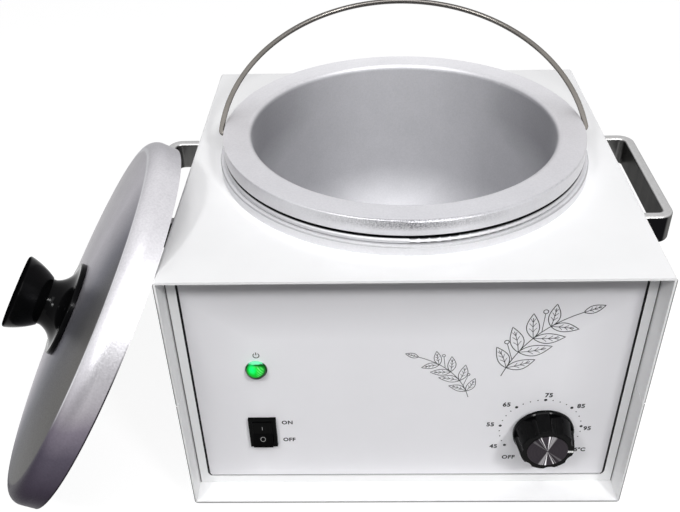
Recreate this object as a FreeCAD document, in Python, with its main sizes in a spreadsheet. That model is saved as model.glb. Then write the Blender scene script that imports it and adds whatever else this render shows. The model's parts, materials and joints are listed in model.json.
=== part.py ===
"""Wax warmer: an enamelled casing with a heated well, a lift-out pot with its bail, and a lid.

X runs to the right, Y to the back and Z up. The origin lies on the table, under the middle of
the casing. The pot is seated, its bail leans back, and the lid leans on the left side.
"""
import FreeCAD, Part
import math
import os

import Sketcher

# Driving dimensions in mm, and angles in degrees. Each one fills a cell of the sheet.
SIZES = {
    # casing
    "casing_width": 240, "casing_depth": 240, "casing_height": 156.6, "sheet_wall": 1.3,
    "bend_inside": 0.4, "seam_rise": 77, "seam_gap": 0.8, "strip_wall": 1.0, "strip_lap": 12,
    "strip_inset": 20, "foot_height": 8, "foot_radius": 10, "foot_taper": 1.5, "foot_inset": 25,
    "fit_gap": 0.2, "touch_gap": 0.3,
    # front
    "recess_depth": 14, "border_width": 5.0, "panel_gap": 0.9, "panel_wall": 1.5,
    "panel_corner": 3, "bulkhead_wall": 1.0,
    # rear
    "rear_inset": 3, "rear_tab": 12, "vent_length": 30, "vent_width": 3, "vent_pitch": 9,
    "vent_count": 7,
    # well and collar
    "well_shift": 2.4, "well_radius": 87.5, "well_wall": 1.2, "well_corner": 30,
    "bead_radius": 1.5, "bead_reach": 101, "collar_radius": 102.9, "collar_width": 8,
    "collar_height": 5.4, "collar_round": 1, "hole_gap": 0.8, "clamp_wall": 1.5,
    "clamp_reach": 101, "clamp_height": 14,
    # pot and bail
    "pot_radius": 84.5, "pot_wall": 1.5, "pot_depth": 112, "pot_corner": 40,
    "rim_radius": 100.4, "rim_rise": 18.2, "skirt_height": 8.2, "rim_round": 1.0,
    "mouth_round": 3.0, "bail_drop": 4.4, "bail_radius": 102.5, "wire_radius": 1.5,
    "bail_bend": 2.2, "pin_length": 5, "pin_gap": 0.08, "bail_lean": 65.5,
    # heater
    "band_wall": 3, "band_low": 100, "band_height": 40, "band_split": 8, "lug_reach": 11,
    "lug_width": 6, "lug_rise": 14, "jacket_wall": 6, "jacket_spread": 4, "jacket_opening": 102,
    "terminal_spread": 40, "tag_width": 6.3, "tag_wall": 0.8, "tag_length": 8,
    "bulb_radius": 3, "bulb_length": 80, "fuse_radius": 3.5, "fuse_length": 18, "fuse_offset": 32,
    "clip_wall": 1, "clip_width": 12, "clip_ear": 6,
    # controls
    "control_height": 44.0, "knob_offset": 74.3, "switch_offset": 78.8, "lamp_rise": 45.9,
    "body_width": 34, "body_depth": 30, "body_height": 38, "bushing_radius": 5,
    "bushing_length": 3.6, "nut_radius": 8, "nut_height": 2.4, "nut_opening": 9,
    "shaft_radius": 3, "shaft_sink": 4, "knob_height": 16, "knob_lift": 1.7,
    "knob_radius": 16.5, "flange_height": 1.6, "grip_base": 16.0, "grip_front": 14.4,
    "scallop_radius": 5.8, "scallop_depth": 1.5, "cap_radius": 10.8, "cap_height": 1.0,
    "cap_proud": 0.4, "nut_pocket": 10.5, "pocket_depth": 3.2, "grip_bore": 10, "knob_soft": 0.6,
    "pointer_length": 3.0, "pointer_width": 1.2, "pointer_height": 0.25, "pointer_turn": 93,
    "lens_radius": 5.7, "lens_rim": 1.0, "lens_rise": 4.2, "lamp_radius": 4.8, "lamp_depth": 22,
    "push_nut_radius": 7.5, "push_nut_wall": 0.8,
    "bezel_width": 15, "bezel_height": 21, "bezel_wall": 2, "housing_width": 12.9,
    "housing_height": 19.2, "housing_depth": 18, "rocker_width": 10.6, "rocker_gap": 0.15,
    "rocker_radius": 8.9, "rocker_face": 2.0, "rocker_back": 3.0, "rocker_tilt": 11,
    "pivot_sink": 1.5,
    "spade_pitch": 7, "tab_spread": 8, "tab_drop": 3.5,
    "pivot_radius": 1.2, "pivot_length": 0.9, "cavity_floor": 3,
    # handles
    "handle_length": 96, "handle_reach": 24, "handle_wall": 5.6, "handle_height": 17,
    "handle_drop": 13, "handle_corner": 9, "handle_round": 1.6,
    # fastenings
    "screw_radius": 2, "head_radius": 3.5, "head_height": 2.2, "screw_length": 8,
    # rear inlet and terminals
    "inlet_offset": 70, "inlet_rise": 37, "inlet_width": 27, "inlet_height": 20,
    "inlet_depth": 20, "inlet_plate": 50, "inlet_flange": 3, "socket_wall": 1.6,
    "socket_depth": 16.5, "contact_length": 11, "contact_wall": 2, "contact_height": 4,
    "contact_spread": 7, "contact_drop": 1, "earth_rise": 3, "spade_width": 4.8,
    "block_length": 38, "block_width": 20, "block_height": 16, "block_back": 62,
    "stud_offset": 66, "stud_back": 20, "lead_radius": 1.2, "capillary_radius": 1.0,
    "capillary_side": 13, "capillary_rise": 9.7,
    # lid
    "lid_radius": 107, "lid_wall": 1.2, "lid_height": 15.7, "lid_round": 8, "lid_dome": 4.7,
    "lid_hole": 2.2, "washer_radius": 7, "washer_wall": 1.0, "button_base": 27,
    "button_edge": 2.8, "button_soft": 0.8, "button_neck": 13.2, "button_sweep": 12.3,
    "button_step": 2, "button_waist": 13.3, "button_head": 20.7, "button_flare": 40,
    "button_height": 29.5,
    # lean of the lid
    "lean_tilt": 31.86, "lean_lap": 4, "lean_handle": 24.4, "lean_ease": 1.548,
}


class Size(float):
    """A number that carries its formula in the sheet's cells."""

    def __new__(cls, number, formula):
        size = super().__new__(cls, number)
        size.formula = formula
        return size

    def __add__(self, other):
        return Size(float(self) + float(other), f"({self.formula} + {formula(other)})")

    def __radd__(self, other):
        return Size(float(other) + float(self), f"({formula(other)} + {self.formula})")

    def __sub__(self, other):
        return Size(float(self) - float(other), f"({self.formula} - {formula(other)})")

    def __rsub__(self, other):
        return Size(float(other) - float(self), f"({formula(other)} - {self.formula})")

    def __mul__(self, other):
        return Size(float(self) * float(other), f"({self.formula} * {formula(other)})")

    __rmul__ = __mul__

    def __truediv__(self, other):
        return Size(float(self) / float(other), f"({self.formula} / {formula(other)})")

    def __neg__(self):
        return Size(-float(self), f"(0 - {self.formula})")


def formula(number):
    """The text of a number or a size for an expression."""
    return number.formula if isinstance(number, Size) else repr(float(number))


def root(number):
    """The square root of a size."""
    return Size(math.sqrt(number), f"sqrt({formula(number)})")


def make_sheet():
    """Write the driving dimensions into the sheet and return them as sizes."""
    sheet = doc.addObject("Spreadsheet::Sheet", "Sizes")
    for row, (alias, number) in enumerate(SIZES.items(), 1):
        sheet.set(f"A{row}", alias)
        sheet.set(f"B{row}", str(number))
        sheet.setAlias(f"B{row}", alias)
    doc.recompute()
    return {alias: Size(sheet.get(alias), f"Sizes.{alias}") for alias in SIZES}


doc = FreeCAD.newDocument("wax_warmer")
size = make_sheet()
nodes = []


# ---------------------------------------------------------------- helpers

def keep(thing, label):
    """Name a finished sub-part."""
    thing.Label = label
    nodes.append(thing)
    return thing


def bind(thing, name, number):
    """Set a property from a size, or from a plain number."""
    if isinstance(number, Size):
        thing.setExpression(name, number.formula)
    else:
        setattr(thing, name, number)


def place(thing, spot, turn=None):
    """Put an object at a spot, with its coordinates bound to the sheet."""
    turn = turn or FreeCAD.Rotation()
    thing.Placement = FreeCAD.Placement(FreeCAD.Vector(*map(float, spot)), turn)
    for axis, number in zip("xyz", spot):
        if isinstance(number, Size):
            thing.setExpression(f".Placement.Base.{axis}", number.formula)
    return thing


def box(low, high):
    """A box between two corners."""
    block = doc.addObject("Part::Box", "Box")
    for side, start, end in zip(("Length", "Width", "Height"), low, high):
        bind(block, side, end - start)
    return place(block, low)


AIMS = {"X": (1, 0, 0), "-X": (-1, 0, 0), "Y": (0, 1, 0), "-Y": (0, -1, 0), "Z": (0, 0, 1)}


def rod(radius, start, aim, length):
    """A cylinder that runs from its start along an axis."""
    cylinder = doc.addObject("Part::Cylinder", "Rod")
    bind(cylinder, "Radius", radius)
    bind(cylinder, "Height", length)
    turn = FreeCAD.Rotation(FreeCAD.Vector(0, 0, 1), FreeCAD.Vector(*AIMS[aim]))
    return place(cylinder, start, turn)


def fuse(*things):
    """One solid out of several that touch."""
    union = doc.addObject("Part::MultiFuse", "Union")
    union.Shapes = list(things)
    return union


def cut(base, *tools):
    """A solid less its tools."""
    less = doc.addObject("Part::Cut", "Less")
    less.Base = base
    less.Tool = tools[0] if len(tools) == 1 else fuse(*tools)
    return less


def group(*things):
    """Separate solids in one sub-part."""
    bundle = doc.addObject("Part::Compound", "Group")
    bundle.Links = list(things)
    return bundle


def body_for(name):
    """An empty body."""
    return doc.addObject("PartDesign::Body", name)


def sketch_on(body, role, offset=0):
    """A sketch on one of the body's own origin planes, or at an offset along its normal."""
    sketch = body.newObject("Sketcher::SketchObject", "Outline")
    plane = next(item for item in body.Origin.OriginFeatures if item.Role == role)
    sketch.AttachmentSupport = (plane, [""])
    sketch.MapMode = "FlatFace"
    bind(sketch, ".AttachmentOffset.Base.z", offset if isinstance(offset, Size)
         else Size(offset, formula(offset)))
    return sketch


def arc_between(start, end, radius):
    """The short arc from start to end: it turns left, or right where its radius is negative."""
    across, up = end[0] - start[0], end[1] - start[1]
    chord = math.hypot(across, up)
    rise = math.sqrt(max(radius * radius - chord * chord / 4, 0))
    side = math.copysign(1, radius)
    middle = FreeCAD.Vector((start[0] + end[0]) / 2 - side * rise * up / chord,
                            (start[1] + end[1]) / 2 + side * rise * across / chord, 0)
    circle = Part.Circle(middle, FreeCAD.Vector(0, 0, 1), abs(radius))
    ends = [math.atan2(spot[1] - middle.y, spot[0] - middle.x) for spot in (start, end)]
    return Part.ArcOfCircle(circle, *(ends if radius > 0 else ends[::-1]))


def outline(sketch, steps):
    """A closed outline. A step is a corner (across, up) or the end of an arc (with a radius)."""
    edges = []
    for index, step in enumerate(steps):
        start = [float(number) for number in steps[index - 1][:2]]
        end = [float(number) for number in step[:2]]
        if len(step) == 2:
            line = Part.LineSegment(FreeCAD.Vector(*start, 0), FreeCAD.Vector(*end, 0))
            edges.append((sketch.addGeometry(line), 1, 2))
        else:
            arc = sketch.addGeometry(arc_between(start, end, float(step[2])))
            edges.append((arc, 1, 2) if step[2] > 0 else (arc, 2, 1))
    for index, step in enumerate(steps):
        edge, first, last = edges[index]
        following, its_first, _ = edges[(index + 1) % len(steps)]
        sketch.addConstraint(Sketcher.Constraint("Coincident", edge, last, following, its_first))
        for kind, number in zip(("DistanceX", "DistanceY"), step):
            measure(sketch, Sketcher.Constraint(kind, -1, 1, edge, last, float(number)), number)
        if len(step) == 3:
            radius = step[2] if step[2] > 0 else -step[2]
            measure(sketch, Sketcher.Constraint("Radius", edge, float(radius)), radius)
    return sketch


def measure(sketch, constraint, number):
    """Add a dimension and bind it to the sheet."""
    index = sketch.addConstraint(constraint)
    if isinstance(number, Size):
        sketch.setExpression(f"Constraints[{index}]", number.formula)


def circle_in(sketch, radius, across=0.0, up=0.0):
    """A full circle."""
    centre = FreeCAD.Vector(float(across), float(up), 0)
    ring = sketch.addGeometry(Part.Circle(centre, FreeCAD.Vector(0, 0, 1), float(radius)))
    measure(sketch, Sketcher.Constraint("Radius", ring, float(radius)), radius)
    for kind, number in (("DistanceX", across), ("DistanceY", up)):
        measure(sketch, Sketcher.Constraint(kind, -1, 1, ring, 3, float(number)), number)
    return sketch


def rounded(left, low, right, high, radius):
    """The steps of a rectangle with rounded corners."""
    return [(right - radius, low), (right, low + radius, radius), (right, high - radius),
            (right - radius, high, radius), (left + radius, high),
            (left, high - radius, radius), (left, low + radius), (left + radius, low, radius)]


def pad(body, sketch, length, backwards=False):
    """Extrude a sketch along its plane's normal, or against it."""
    feature = body.newObject("PartDesign::Pad", "Pad")
    feature.Profile = sketch
    feature.Reversed = backwards
    bind(feature, "Length", length)
    return feature


def spin(name, steps, spot):
    """A body turned about its own upright axis from half of its section."""
    body = body_for(name)
    sketch = outline(sketch_on(body, "XZ_Plane"), steps)
    feature = body.newObject("PartDesign::Revolution", "Turn")
    feature.Profile = sketch
    feature.ReferenceAxis = (sketch, ["V_Axis"])
    feature.Angle = 360
    return place(body, spot)


def lead(end, aim, length):
    """The point straight ahead of a wire's end."""
    return tuple(number + step * length * HALF_WIDTH / ROUTE_SPACE[0]
                 for number, step in zip(end, AIMS[aim]))


def inside(*spots):
    """The middle points of a route, which keep their places in a casing of another size."""
    return [(x * HALF_WIDTH / ROUTE_SPACE[0], y * HALF_DEPTH / ROUTE_SPACE[1],
             z * TOP / ROUTE_SPACE[2]) for x, y, z in spots]


def tube_shape(points, radius):
    """A round tube along straight runs that are joined by tangent arcs."""
    points = [FreeCAD.Vector(*map(float, point)) for point in points]
    edges, here, bends = [], points[0], []
    for before, corner, after in zip(points, points[1:], points[2:]):
        back, ahead = before - corner, after - corner
        half = (math.pi - back.getAngle(ahead)) / 2
        setback = 0.45 * min(back.Length, ahead.Length)
        inward = back.normalize() + ahead.normalize()
        bend = setback / math.tan(half)
        middle = corner + inward.normalize() * (math.hypot(bend, setback) - bend)
        first, last = corner + back * setback, corner + ahead * setback
        edges += [Part.LineSegment(here, first).toShape(), Part.Arc(first, middle, last).toShape()]
        here = last
        bends.append(bend)
    edges.append(Part.LineSegment(here, points[-1]).toShape())
    start = points[1] - points[0]
    mouth = Part.Wire(Part.Circle(points[0], start, float(radius)).toShape())
    path = Part.Wire(edges)
    pipe = path.makePipeShell([mouth], True, True)
    share = pipe.Volume / (math.pi * float(radius) ** 2 * path.Length)
    print(f"tube: bends from {min(bends):.1f} mm, volume {share:.4f} of section times length")
    return pipe


def tube(label, routes, radius):
    """Wires or pipes along routes that are chosen by hand."""
    thing = doc.addObject("Part::Feature", "Tube")
    shapes = [tube_shape(route, radius) for route in routes]
    thing.Shape = shapes[0] if len(shapes) == 1 else Part.makeCompound(shapes)
    return keep(thing, label)


# ---------------------------------------------------------------- shared places

WALL = size["sheet_wall"]
HALF_WIDTH = size["casing_width"] / 2
HALF_DEPTH = size["casing_depth"] / 2
INNER = HALF_WIDTH - WALL
BASE = size["foot_height"]
FLOOR = BASE + WALL
TOP = BASE + size["casing_height"]
CEILING = TOP - WALL
SEAM = BASE + size["seam_rise"]
FRONT = -HALF_DEPTH
PANEL = FRONT + size["recess_depth"]
PANEL_BACK = PANEL + size["panel_wall"]
BULKHEAD_BACK = PANEL_BACK + size["bulkhead_wall"]
REAR_OUT = HALF_DEPTH - size["rear_inset"]
REAR_IN = REAR_OUT - WALL
SHIFT = size["well_shift"]

WELL_OUT = size["well_radius"] + size["well_wall"]
FLANGE = TOP + size["collar_height"]
RIM = TOP + size["rim_rise"]
POT_FLOOR = RIM - size["pot_depth"]
WELL_FLOOR = POT_FLOOR - size["pot_wall"] - size["touch_gap"]
WELL_UNDER = WELL_FLOOR - size["well_wall"]
HINGE = RIM - size["bail_drop"]

CONTROL = BASE + size["control_height"]
KNOB_X = size["knob_offset"]
SWITCH_X = -size["switch_offset"]
LAMP_Z = CONTROL + size["lamp_rise"]

TERMINAL_X = size["terminal_spread"]
TERMINAL_Y = SHIFT + WELL_OUT + size["band_wall"] + size["tag_width"]
TERMINAL_Z = size["band_low"] + size["lug_rise"]

HANDLE_TOP = TOP - size["handle_drop"]
HANDLE_LOW = HANDLE_TOP - size["handle_height"]
HANDLE_HALF = size["handle_length"] / 2
HANDLE_SCREW_Y = HANDLE_HALF - size["handle_wall"] / 2
HANDLE_SCREW_Z = HANDLE_LOW + size["handle_height"] / 2

HOLE = size["screw_radius"] + size["fit_gap"]
SIDES = (-1, 1)
# the casing's half width, half depth and height that the wires' routes were chosen for
ROUTE_SPACE = (120, 120, 164.6)


def screw(spot, aim, length=None):
    """A pan-head screw. The spot is the seat of its head, and the shank runs along the aim."""
    away = {"X": "-X", "-X": "X", "Y": "-Y", "-Y": "Y"}.get(aim)
    shank = rod(size["screw_radius"], spot, aim, length or size["screw_length"])
    if away:
        head = rod(size["head_radius"], spot, away, size["head_height"])
    else:
        low = (spot[0], spot[1], spot[2] - size["head_height"])
        head = rod(size["head_radius"], low, "Z", size["head_height"])
    return fuse(head, shank)


# ---------------------------------------------------------------- casing

def strip_spots():
    """Where the cover screws go into the seam strips: two on each side."""
    along = HALF_DEPTH - size["strip_inset"] - size["strip_lap"]
    height = SEAM + size["strip_lap"] / 2
    return [(side, end * along, height) for side in SIDES for end in SIDES]


def rear_spots():
    """Where the rear panel's screws go: four into the tray and two into the cover."""
    across = INNER - size["rear_tab"] / 2
    low = FLOOR + size["rear_tab"]
    return [(side * across, height) for side in SIDES
            for height in (low, SEAM - size["rear_tab"], CEILING - size["rear_tab"] / 2)]


def folded(name, steps):
    """A sheet folded to a section that runs from the front to the back of the casing."""
    body = body_for(name)
    pad(body, outline(sketch_on(body, "XZ_Plane", HALF_DEPTH), steps), size["casing_depth"], True)
    return body


def top_cover():
    """Top plate, hood and upper side walls in one folded sheet, with tabs for the rear panel."""
    bend, inside = size["bend_inside"] + WALL, size["bend_inside"]
    low, high = SEAM + size["seam_gap"], TOP
    steps = [(-HALF_WIDTH, low), (-INNER, low), (-INNER, CEILING - inside),
             (-INNER + inside, CEILING, -inside), (INNER - inside, CEILING),
             (INNER, CEILING - inside, -inside), (INNER, low), (HALF_WIDTH, low),
             (HALF_WIDTH, high - bend), (HALF_WIDTH - bend, high, bend),
             (-HALF_WIDTH + bend, high), (-HALF_WIDTH, high - bend, bend)]
    tabs = [rear_tab(side, CEILING - size["rear_tab"], CEILING) for side in SIDES]
    holes = [rod(WELL_OUT + size["hole_gap"], (0, SHIFT, CEILING - WALL), "Z", WALL * 3)]
    holes += [rod(HOLE, (side * (INNER - WALL), along, height), "X" if side > 0 else "-X", WALL * 3)
              for side, along, height in strip_spots() + handle_spots()]
    holes += [rod(HOLE, (across, REAR_IN - WALL * 2, height), "Y", WALL * 3)
              for across, height in rear_spots()]
    return keep(cut(fuse(folded("Cover", steps), *tabs), *holes), "top_cover")


def rear_tab(side, low, high):
    """A tab behind the rear panel, against a side wall."""
    inner, outer = INNER - size["rear_tab"], INNER
    left, right = (inner, outer) if side > 0 else (-outer, -inner)
    return box((left, REAR_IN - WALL, low), (right, REAR_IN, high))


def base_tray():
    """Bottom plate and lower side walls, with the seam strips and tabs for the rear panel."""
    bend, inside = size["bend_inside"] + WALL, size["bend_inside"]
    steps = [(HALF_WIDTH, SEAM), (INNER, SEAM), (INNER, FLOOR + inside),
             (INNER - inside, FLOOR, -inside), (-INNER + inside, FLOOR),
             (-INNER, FLOOR + inside, -inside), (-INNER, SEAM), (-HALF_WIDTH, SEAM),
             (-HALF_WIDTH, BASE + bend), (-HALF_WIDTH + bend, BASE, bend),
             (HALF_WIDTH - bend, BASE), (HALF_WIDTH, BASE + bend, bend)]
    along = HALF_DEPTH - size["strip_inset"]
    extras = [rear_tab(side, FLOOR, SEAM) for side in SIDES]
    for side in SIDES:
        left, right = sorted((side * INNER, side * (INNER - size["strip_wall"])), key=float)
        extras.append(box((left, -along, SEAM - size["strip_lap"]),
                          (right, along, SEAM + size["strip_lap"])))
    holes = [rod(HOLE, (side * (INNER - WALL * 2), y, z), "X" if side > 0 else "-X", WALL * 4)
             for side, y, z in strip_spots()]
    holes += [rod(HOLE, (x, REAR_IN - WALL * 2, z), "Y", WALL * 3) for x, z in rear_spots()]
    holes += [rod(HOLE, (x, y, BASE - WALL), "Z", WALL * 3) for x, y in foot_spots()]
    holes += vent_slots()
    return keep(cut(fuse(folded("Tray", steps), *extras), *holes), "base_tray")


def vent_slots():
    """Two rows of slots in the bottom plate."""
    length, pitch = size["vent_length"], size["vent_pitch"]
    slots = []
    for side in SIDES:
        for index in range(int(size["vent_count"])):
            middle = pitch * (index - (int(size["vent_count"]) - 1) / 2)
            centre = side * length
            slots.append(box((centre - length / 2, middle - size["vent_width"] / 2, BASE - WALL),
                             (centre + length / 2, middle + size["vent_width"] / 2, FLOOR + WALL)))
    return slots


def flat_plate(name, steps, front, wall, *windows):
    """A plate that faces the front, with its outline in X and Z."""
    body = body_for(name)
    sketch = outline(sketch_on(body, "XZ_Plane", -front), steps)
    for window in windows:
        outline(sketch, window)
    pad(body, sketch, wall, True)
    return body


def rectangle(left, low, right, high):
    """The steps of a plain rectangle."""
    return [(right, low), (right, high), (left, high), (left, low)]


def front_frame():
    """The narrow border round the panel, set back under the hood."""
    reach = INNER - size["fit_gap"]
    low, high = FLOOR + size["fit_gap"], CEILING - size["fit_gap"]
    border = size["border_width"]
    window = rounded(-reach + border, low + border, reach - border, high - border,
                     size["panel_corner"] + size["panel_gap"])
    plate = flat_plate("Frame", rectangle(-reach, low, reach, high), PANEL, size["panel_wall"],
                       window)
    return keep(plate, "front_frame")


def front_panel():
    """The control panel, with holes for the lamp, the switch and the thermostat."""
    edge = INNER - size["fit_gap"] - size["border_width"] - size["panel_gap"]
    margin = size["fit_gap"] + size["border_width"] + size["panel_gap"]
    steps = rounded(-edge, FLOOR + margin, edge, CEILING - margin, size["panel_corner"])
    plate = flat_plate("Panel", steps, PANEL, size["panel_wall"])
    start, length = PANEL - WALL, size["panel_wall"] + WALL * 2
    holes = [rod(size["lamp_radius"] + size["fit_gap"], (SWITCH_X, start, LAMP_Z), "Y", length),
             rod(size["nut_opening"], (KNOB_X, start, CONTROL), "Y", length),
             around_switch(size["fit_gap"] / 2, start, start + length)]
    return keep(cut(plate, *holes), "front_panel")


def around_switch(margin, near, far):
    """A block round the switch's housing, for the holes that it passes through."""
    half, rise = size["housing_width"] / 2 + margin, size["housing_height"] / 2 + margin
    return box((SWITCH_X - half, near, CONTROL - rise), (SWITCH_X + half, far, CONTROL + rise))


def front_bulkhead():
    """The plate behind the panel that carries the controls."""
    reach = INNER - size["fit_gap"]
    steps = rectangle(-reach, FLOOR + size["fit_gap"], reach, CEILING - size["fit_gap"])
    plate = flat_plate("Bulkhead", steps, PANEL_BACK, size["bulkhead_wall"])
    start, length = PANEL_BACK - WALL, size["bulkhead_wall"] + WALL * 2
    holes = [rod(size["lamp_radius"] + size["fit_gap"], (SWITCH_X, start, LAMP_Z), "Y", length),
             rod(size["bushing_radius"] + size["fit_gap"], (KNOB_X, start, CONTROL), "Y", length),
             around_switch(size["fit_gap"], start, start + length)]
    return keep(cut(plate, *holes), "front_bulkhead")


def rear_panel():
    """The rear wall, with its vents and the cut-out of the inlet."""
    reach = INNER - size["fit_gap"]
    steps = rectangle(-reach, FLOOR + size["fit_gap"], reach, CEILING - size["fit_gap"])
    plate = flat_plate("Rear", steps, REAR_IN, WALL)
    start, length = REAR_IN - WALL, WALL * 3
    half, rise = (size["inlet_width"] / 2 + size["fit_gap"],
                  size["inlet_height"] / 2 + size["fit_gap"])
    holes = [box((INLET_X - half, start, INLET_Z - rise),
                 (INLET_X + half, start + length, INLET_Z + rise))]
    holes += [rod(HOLE, (x, start, INLET_Z), "Y", length) for x in inlet_screw_places()]
    holes += [rod(HOLE, (x, start, z), "Y", length) for x, z in rear_spots()]
    for index in range(int(size["vent_count"])):
        low = SEAM + size["vent_pitch"] * index
        holes.append(box((-size["vent_length"], start, low),
                         (size["vent_length"], start + length, low + size["vent_width"])))
    return keep(cut(plate, *holes), "rear_panel")


def casing_screws():
    """The screws of the cover and of the rear panel."""
    covers = [screw((side * HALF_WIDTH, y, z), "-X" if side > 0 else "X")
              for side, y, z in strip_spots()]
    keep(group(*covers), "cover_screws")
    keep(group(*[screw((x, REAR_OUT, z), "-Y") for x, z in rear_spots()]), "rear_panel_screws")


def foot_spots():
    """The four corners where the feet stand."""
    across, along = HALF_WIDTH - size["foot_inset"], HALF_DEPTH - size["foot_inset"]
    return [(side * across, end * along) for end in SIDES for side in SIDES]


def feet():
    """Four tapered rubber feet, each with its screw sunk into it."""
    names = ("front_left", "front_right", "rear_left", "rear_right")
    radius, low = size["foot_radius"], size["foot_radius"] - size["foot_taper"]
    sink, height = size["foot_height"] / 2, size["foot_height"]
    bore, well = HOLE, size["head_radius"] + size["fit_gap"]
    steps = [(well, 0), (low, 0), (radius, height), (bore, height), (bore, sink), (well, sink)]
    for name, (x, y) in zip(names, foot_spots()):
        keep(spin("Foot", steps, (x, y, 0)), f"foot_{name}")
    length = sink + WALL + size["screw_length"] / 2
    keep(group(*[screw((x, y, sink), "Z", length) for x, y in foot_spots()]), "foot_screws")


# ---------------------------------------------------------------- handles

def handle_spots():
    """Where the handles' screws pass through the cover: two on each side."""
    return [(side, end * HANDLE_SCREW_Y, HANDLE_SCREW_Z) for side in SIDES for end in SIDES]


def handle(side):
    """A U-shaped band with rounded edges, open at the top and the bottom."""
    reach, wall, corner = size["handle_reach"], size["handle_wall"], size["handle_corner"]
    half, inner = HANDLE_HALF, size["handle_corner"] - size["handle_wall"]
    body = body_for("Handle")
    steps = [(0, -half), (reach - corner, -half), (reach, -half + corner, corner),
             (reach, half - corner), (reach - corner, half, corner), (0, half),
             (0, half - wall), (reach - corner, half - wall),
             (reach - wall, half - corner, -inner), (reach - wall, -half + corner),
             (reach - corner, -half + wall, -inner), (0, -half + wall)]
    block = pad(body, outline(sketch_on(body, "XY_Plane"), steps), size["handle_height"])
    doc.recompute()
    rims = [f"Edge{index}" for index, edge in enumerate(block.Shape.Edges, 1)
            if edge.BoundBox.ZLength < 0.01 and edge.BoundBox.XMax > 0.01]
    soft = body.newObject("PartDesign::Fillet", "Soft")
    soft.Base = (block, rims)
    bind(soft, "Radius", size["handle_round"])
    turn = FreeCAD.Rotation(FreeCAD.Vector(0, 0, 1), 0 if side > 0 else 180)
    place(body, (side * HALF_WIDTH, 0, HANDLE_LOW), turn)
    aim = "X" if side > 0 else "-X"
    bores = [rod(size["screw_radius"], (side * (INNER - WALL), y, z), aim,
                 size["screw_length"] + WALL) for end, y, z in handle_spots() if end == side]
    return cut(body, *bores)


def handles():
    """Both carrying handles, with screws from inside the cover."""
    keep(handle(-1), "handle_left")
    keep(handle(1), "handle_right")
    keep(group(*[screw((side * INNER, y, z), "X" if side > 0 else "-X")
                 for side, y, z in handle_spots()]), "handle_screws")


# ---------------------------------------------------------------- well and heater

def trim_ring():
    """The collar on the top plate, round the hole."""
    inner, outer = size["collar_radius"] - size["collar_width"], size["collar_radius"]
    height, soft = size["collar_height"], size["collar_round"]
    steps = [(inner, 0), (outer, 0), (outer, height - soft), (outer - soft, height, soft),
             (inner, height)]
    return keep(spin("Collar", steps, (0, SHIFT, TOP)), "trim_ring")


def heater_well():
    """The fixed tub that holds the pot: a dished floor, a straight wall and a beaded flange."""
    inner, wall, corner = size["well_radius"], size["well_wall"], size["well_corner"]
    bead, middle = size["bead_radius"], size["bead_reach"] - size["bead_radius"]
    steps = [(0, WELL_UNDER), (WELL_OUT - corner, WELL_UNDER),
             (WELL_OUT, WELL_UNDER + corner, corner), (WELL_OUT, FLANGE), (middle, FLANGE),
             (middle + bead, FLANGE + bead, bead), (middle, FLANGE + bead * 2, bead),
             (middle - bead, FLANGE + bead, bead), (middle - bead, FLANGE + wall),
             (inner + wall, FLANGE + wall), (inner, FLANGE, wall),
             (inner, WELL_UNDER + corner), (WELL_OUT - corner, WELL_FLOOR, -(corner - wall)),
             (0, WELL_FLOOR)]
    return keep(spin("Well", steps, (0, SHIFT, 0)), "heater_well")


def well_clamp():
    """The ring under the top plate that pulls the well's flange down, with two screws."""
    inner, wall = WELL_OUT + size["touch_gap"], size["clamp_wall"]
    low = CEILING - size["clamp_height"]
    steps = [(inner, low), (inner + wall, low), (inner + wall, CEILING - wall),
             (size["clamp_reach"], CEILING - wall), (size["clamp_reach"], CEILING),
             (inner, CEILING)]
    ring = spin("Clamp", steps, (0, SHIFT, 0))
    height = low + size["head_radius"] + size["fit_gap"]
    starts = [((inner + wall), SHIFT, "-X"), (-(inner + wall), SHIFT, "X")]
    holes = [rod(HOLE, (x, y, height), aim, size["screw_length"]) for x, y, aim in starts]
    keep(cut(ring, *holes, ahead_of_well(low)), "well_clamp_ring")
    length = wall + size["touch_gap"]
    keep(group(*[screw((x, y, height), aim, length) for x, y, aim in starts]),
         "clamp_ring_screws")


def ahead_of_well(low):
    """The space of the front, up to a gap behind the bulkhead, that the rings are cut back to."""
    return box((-HALF_WIDTH, FRONT, low), (HALF_WIDTH, BULKHEAD_BACK + size["touch_gap"], CEILING))


def band_heater():
    """The split band heater round the well, with its lugs and clamp screw at the back."""
    inner = WELL_OUT + size["touch_gap"]
    outer, low, high = inner + size["band_wall"], size["band_low"], size["band_height"]
    ring = spin("Band", [(inner, 0), (outer, 0), (outer, high), (inner, high)], (0, SHIFT, low))
    split, width, reach = size["band_split"] / 2, size["lug_width"], size["lug_reach"]
    rise, middle = size["lug_rise"] / 2, low + high / 2
    back = SHIFT + outer
    slot = box((-split, SHIFT, low - 1), (split, back + 1, low + high + 1))
    lugs = [box((left, back - size["band_wall"] / 2, middle - rise),
                (left + width, back + reach, middle + rise)) for left in (-split - width, split)]
    along = back + reach / 2
    start = -split - width
    bore = rod(HOLE, (start - 1, along, middle), "X", (split + width) * 2 + 2)
    keep(cut(fuse(cut(ring, slot), *lugs), bore), "band_heater")
    keep(screw((start, along, middle), "X", (split + width) * 2 + size["screw_length"] / 2),
         "heater_clamp_screw")
    tag, thick = size["tag_width"] / 2, size["tag_wall"]
    pads = [box((x - tag, SHIFT, TERMINAL_Z), (x + tag, TERMINAL_Y + tag, TERMINAL_Z + thick))
            for x in (-TERMINAL_X, TERMINAL_X)]
    core = [rod(outer, (0, SHIFT, low), "Z", high) for _ in pads]
    keep(group(*[cut(tab, middle) for tab, middle in zip(pads, core)]), "heater_terminals")


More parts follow.
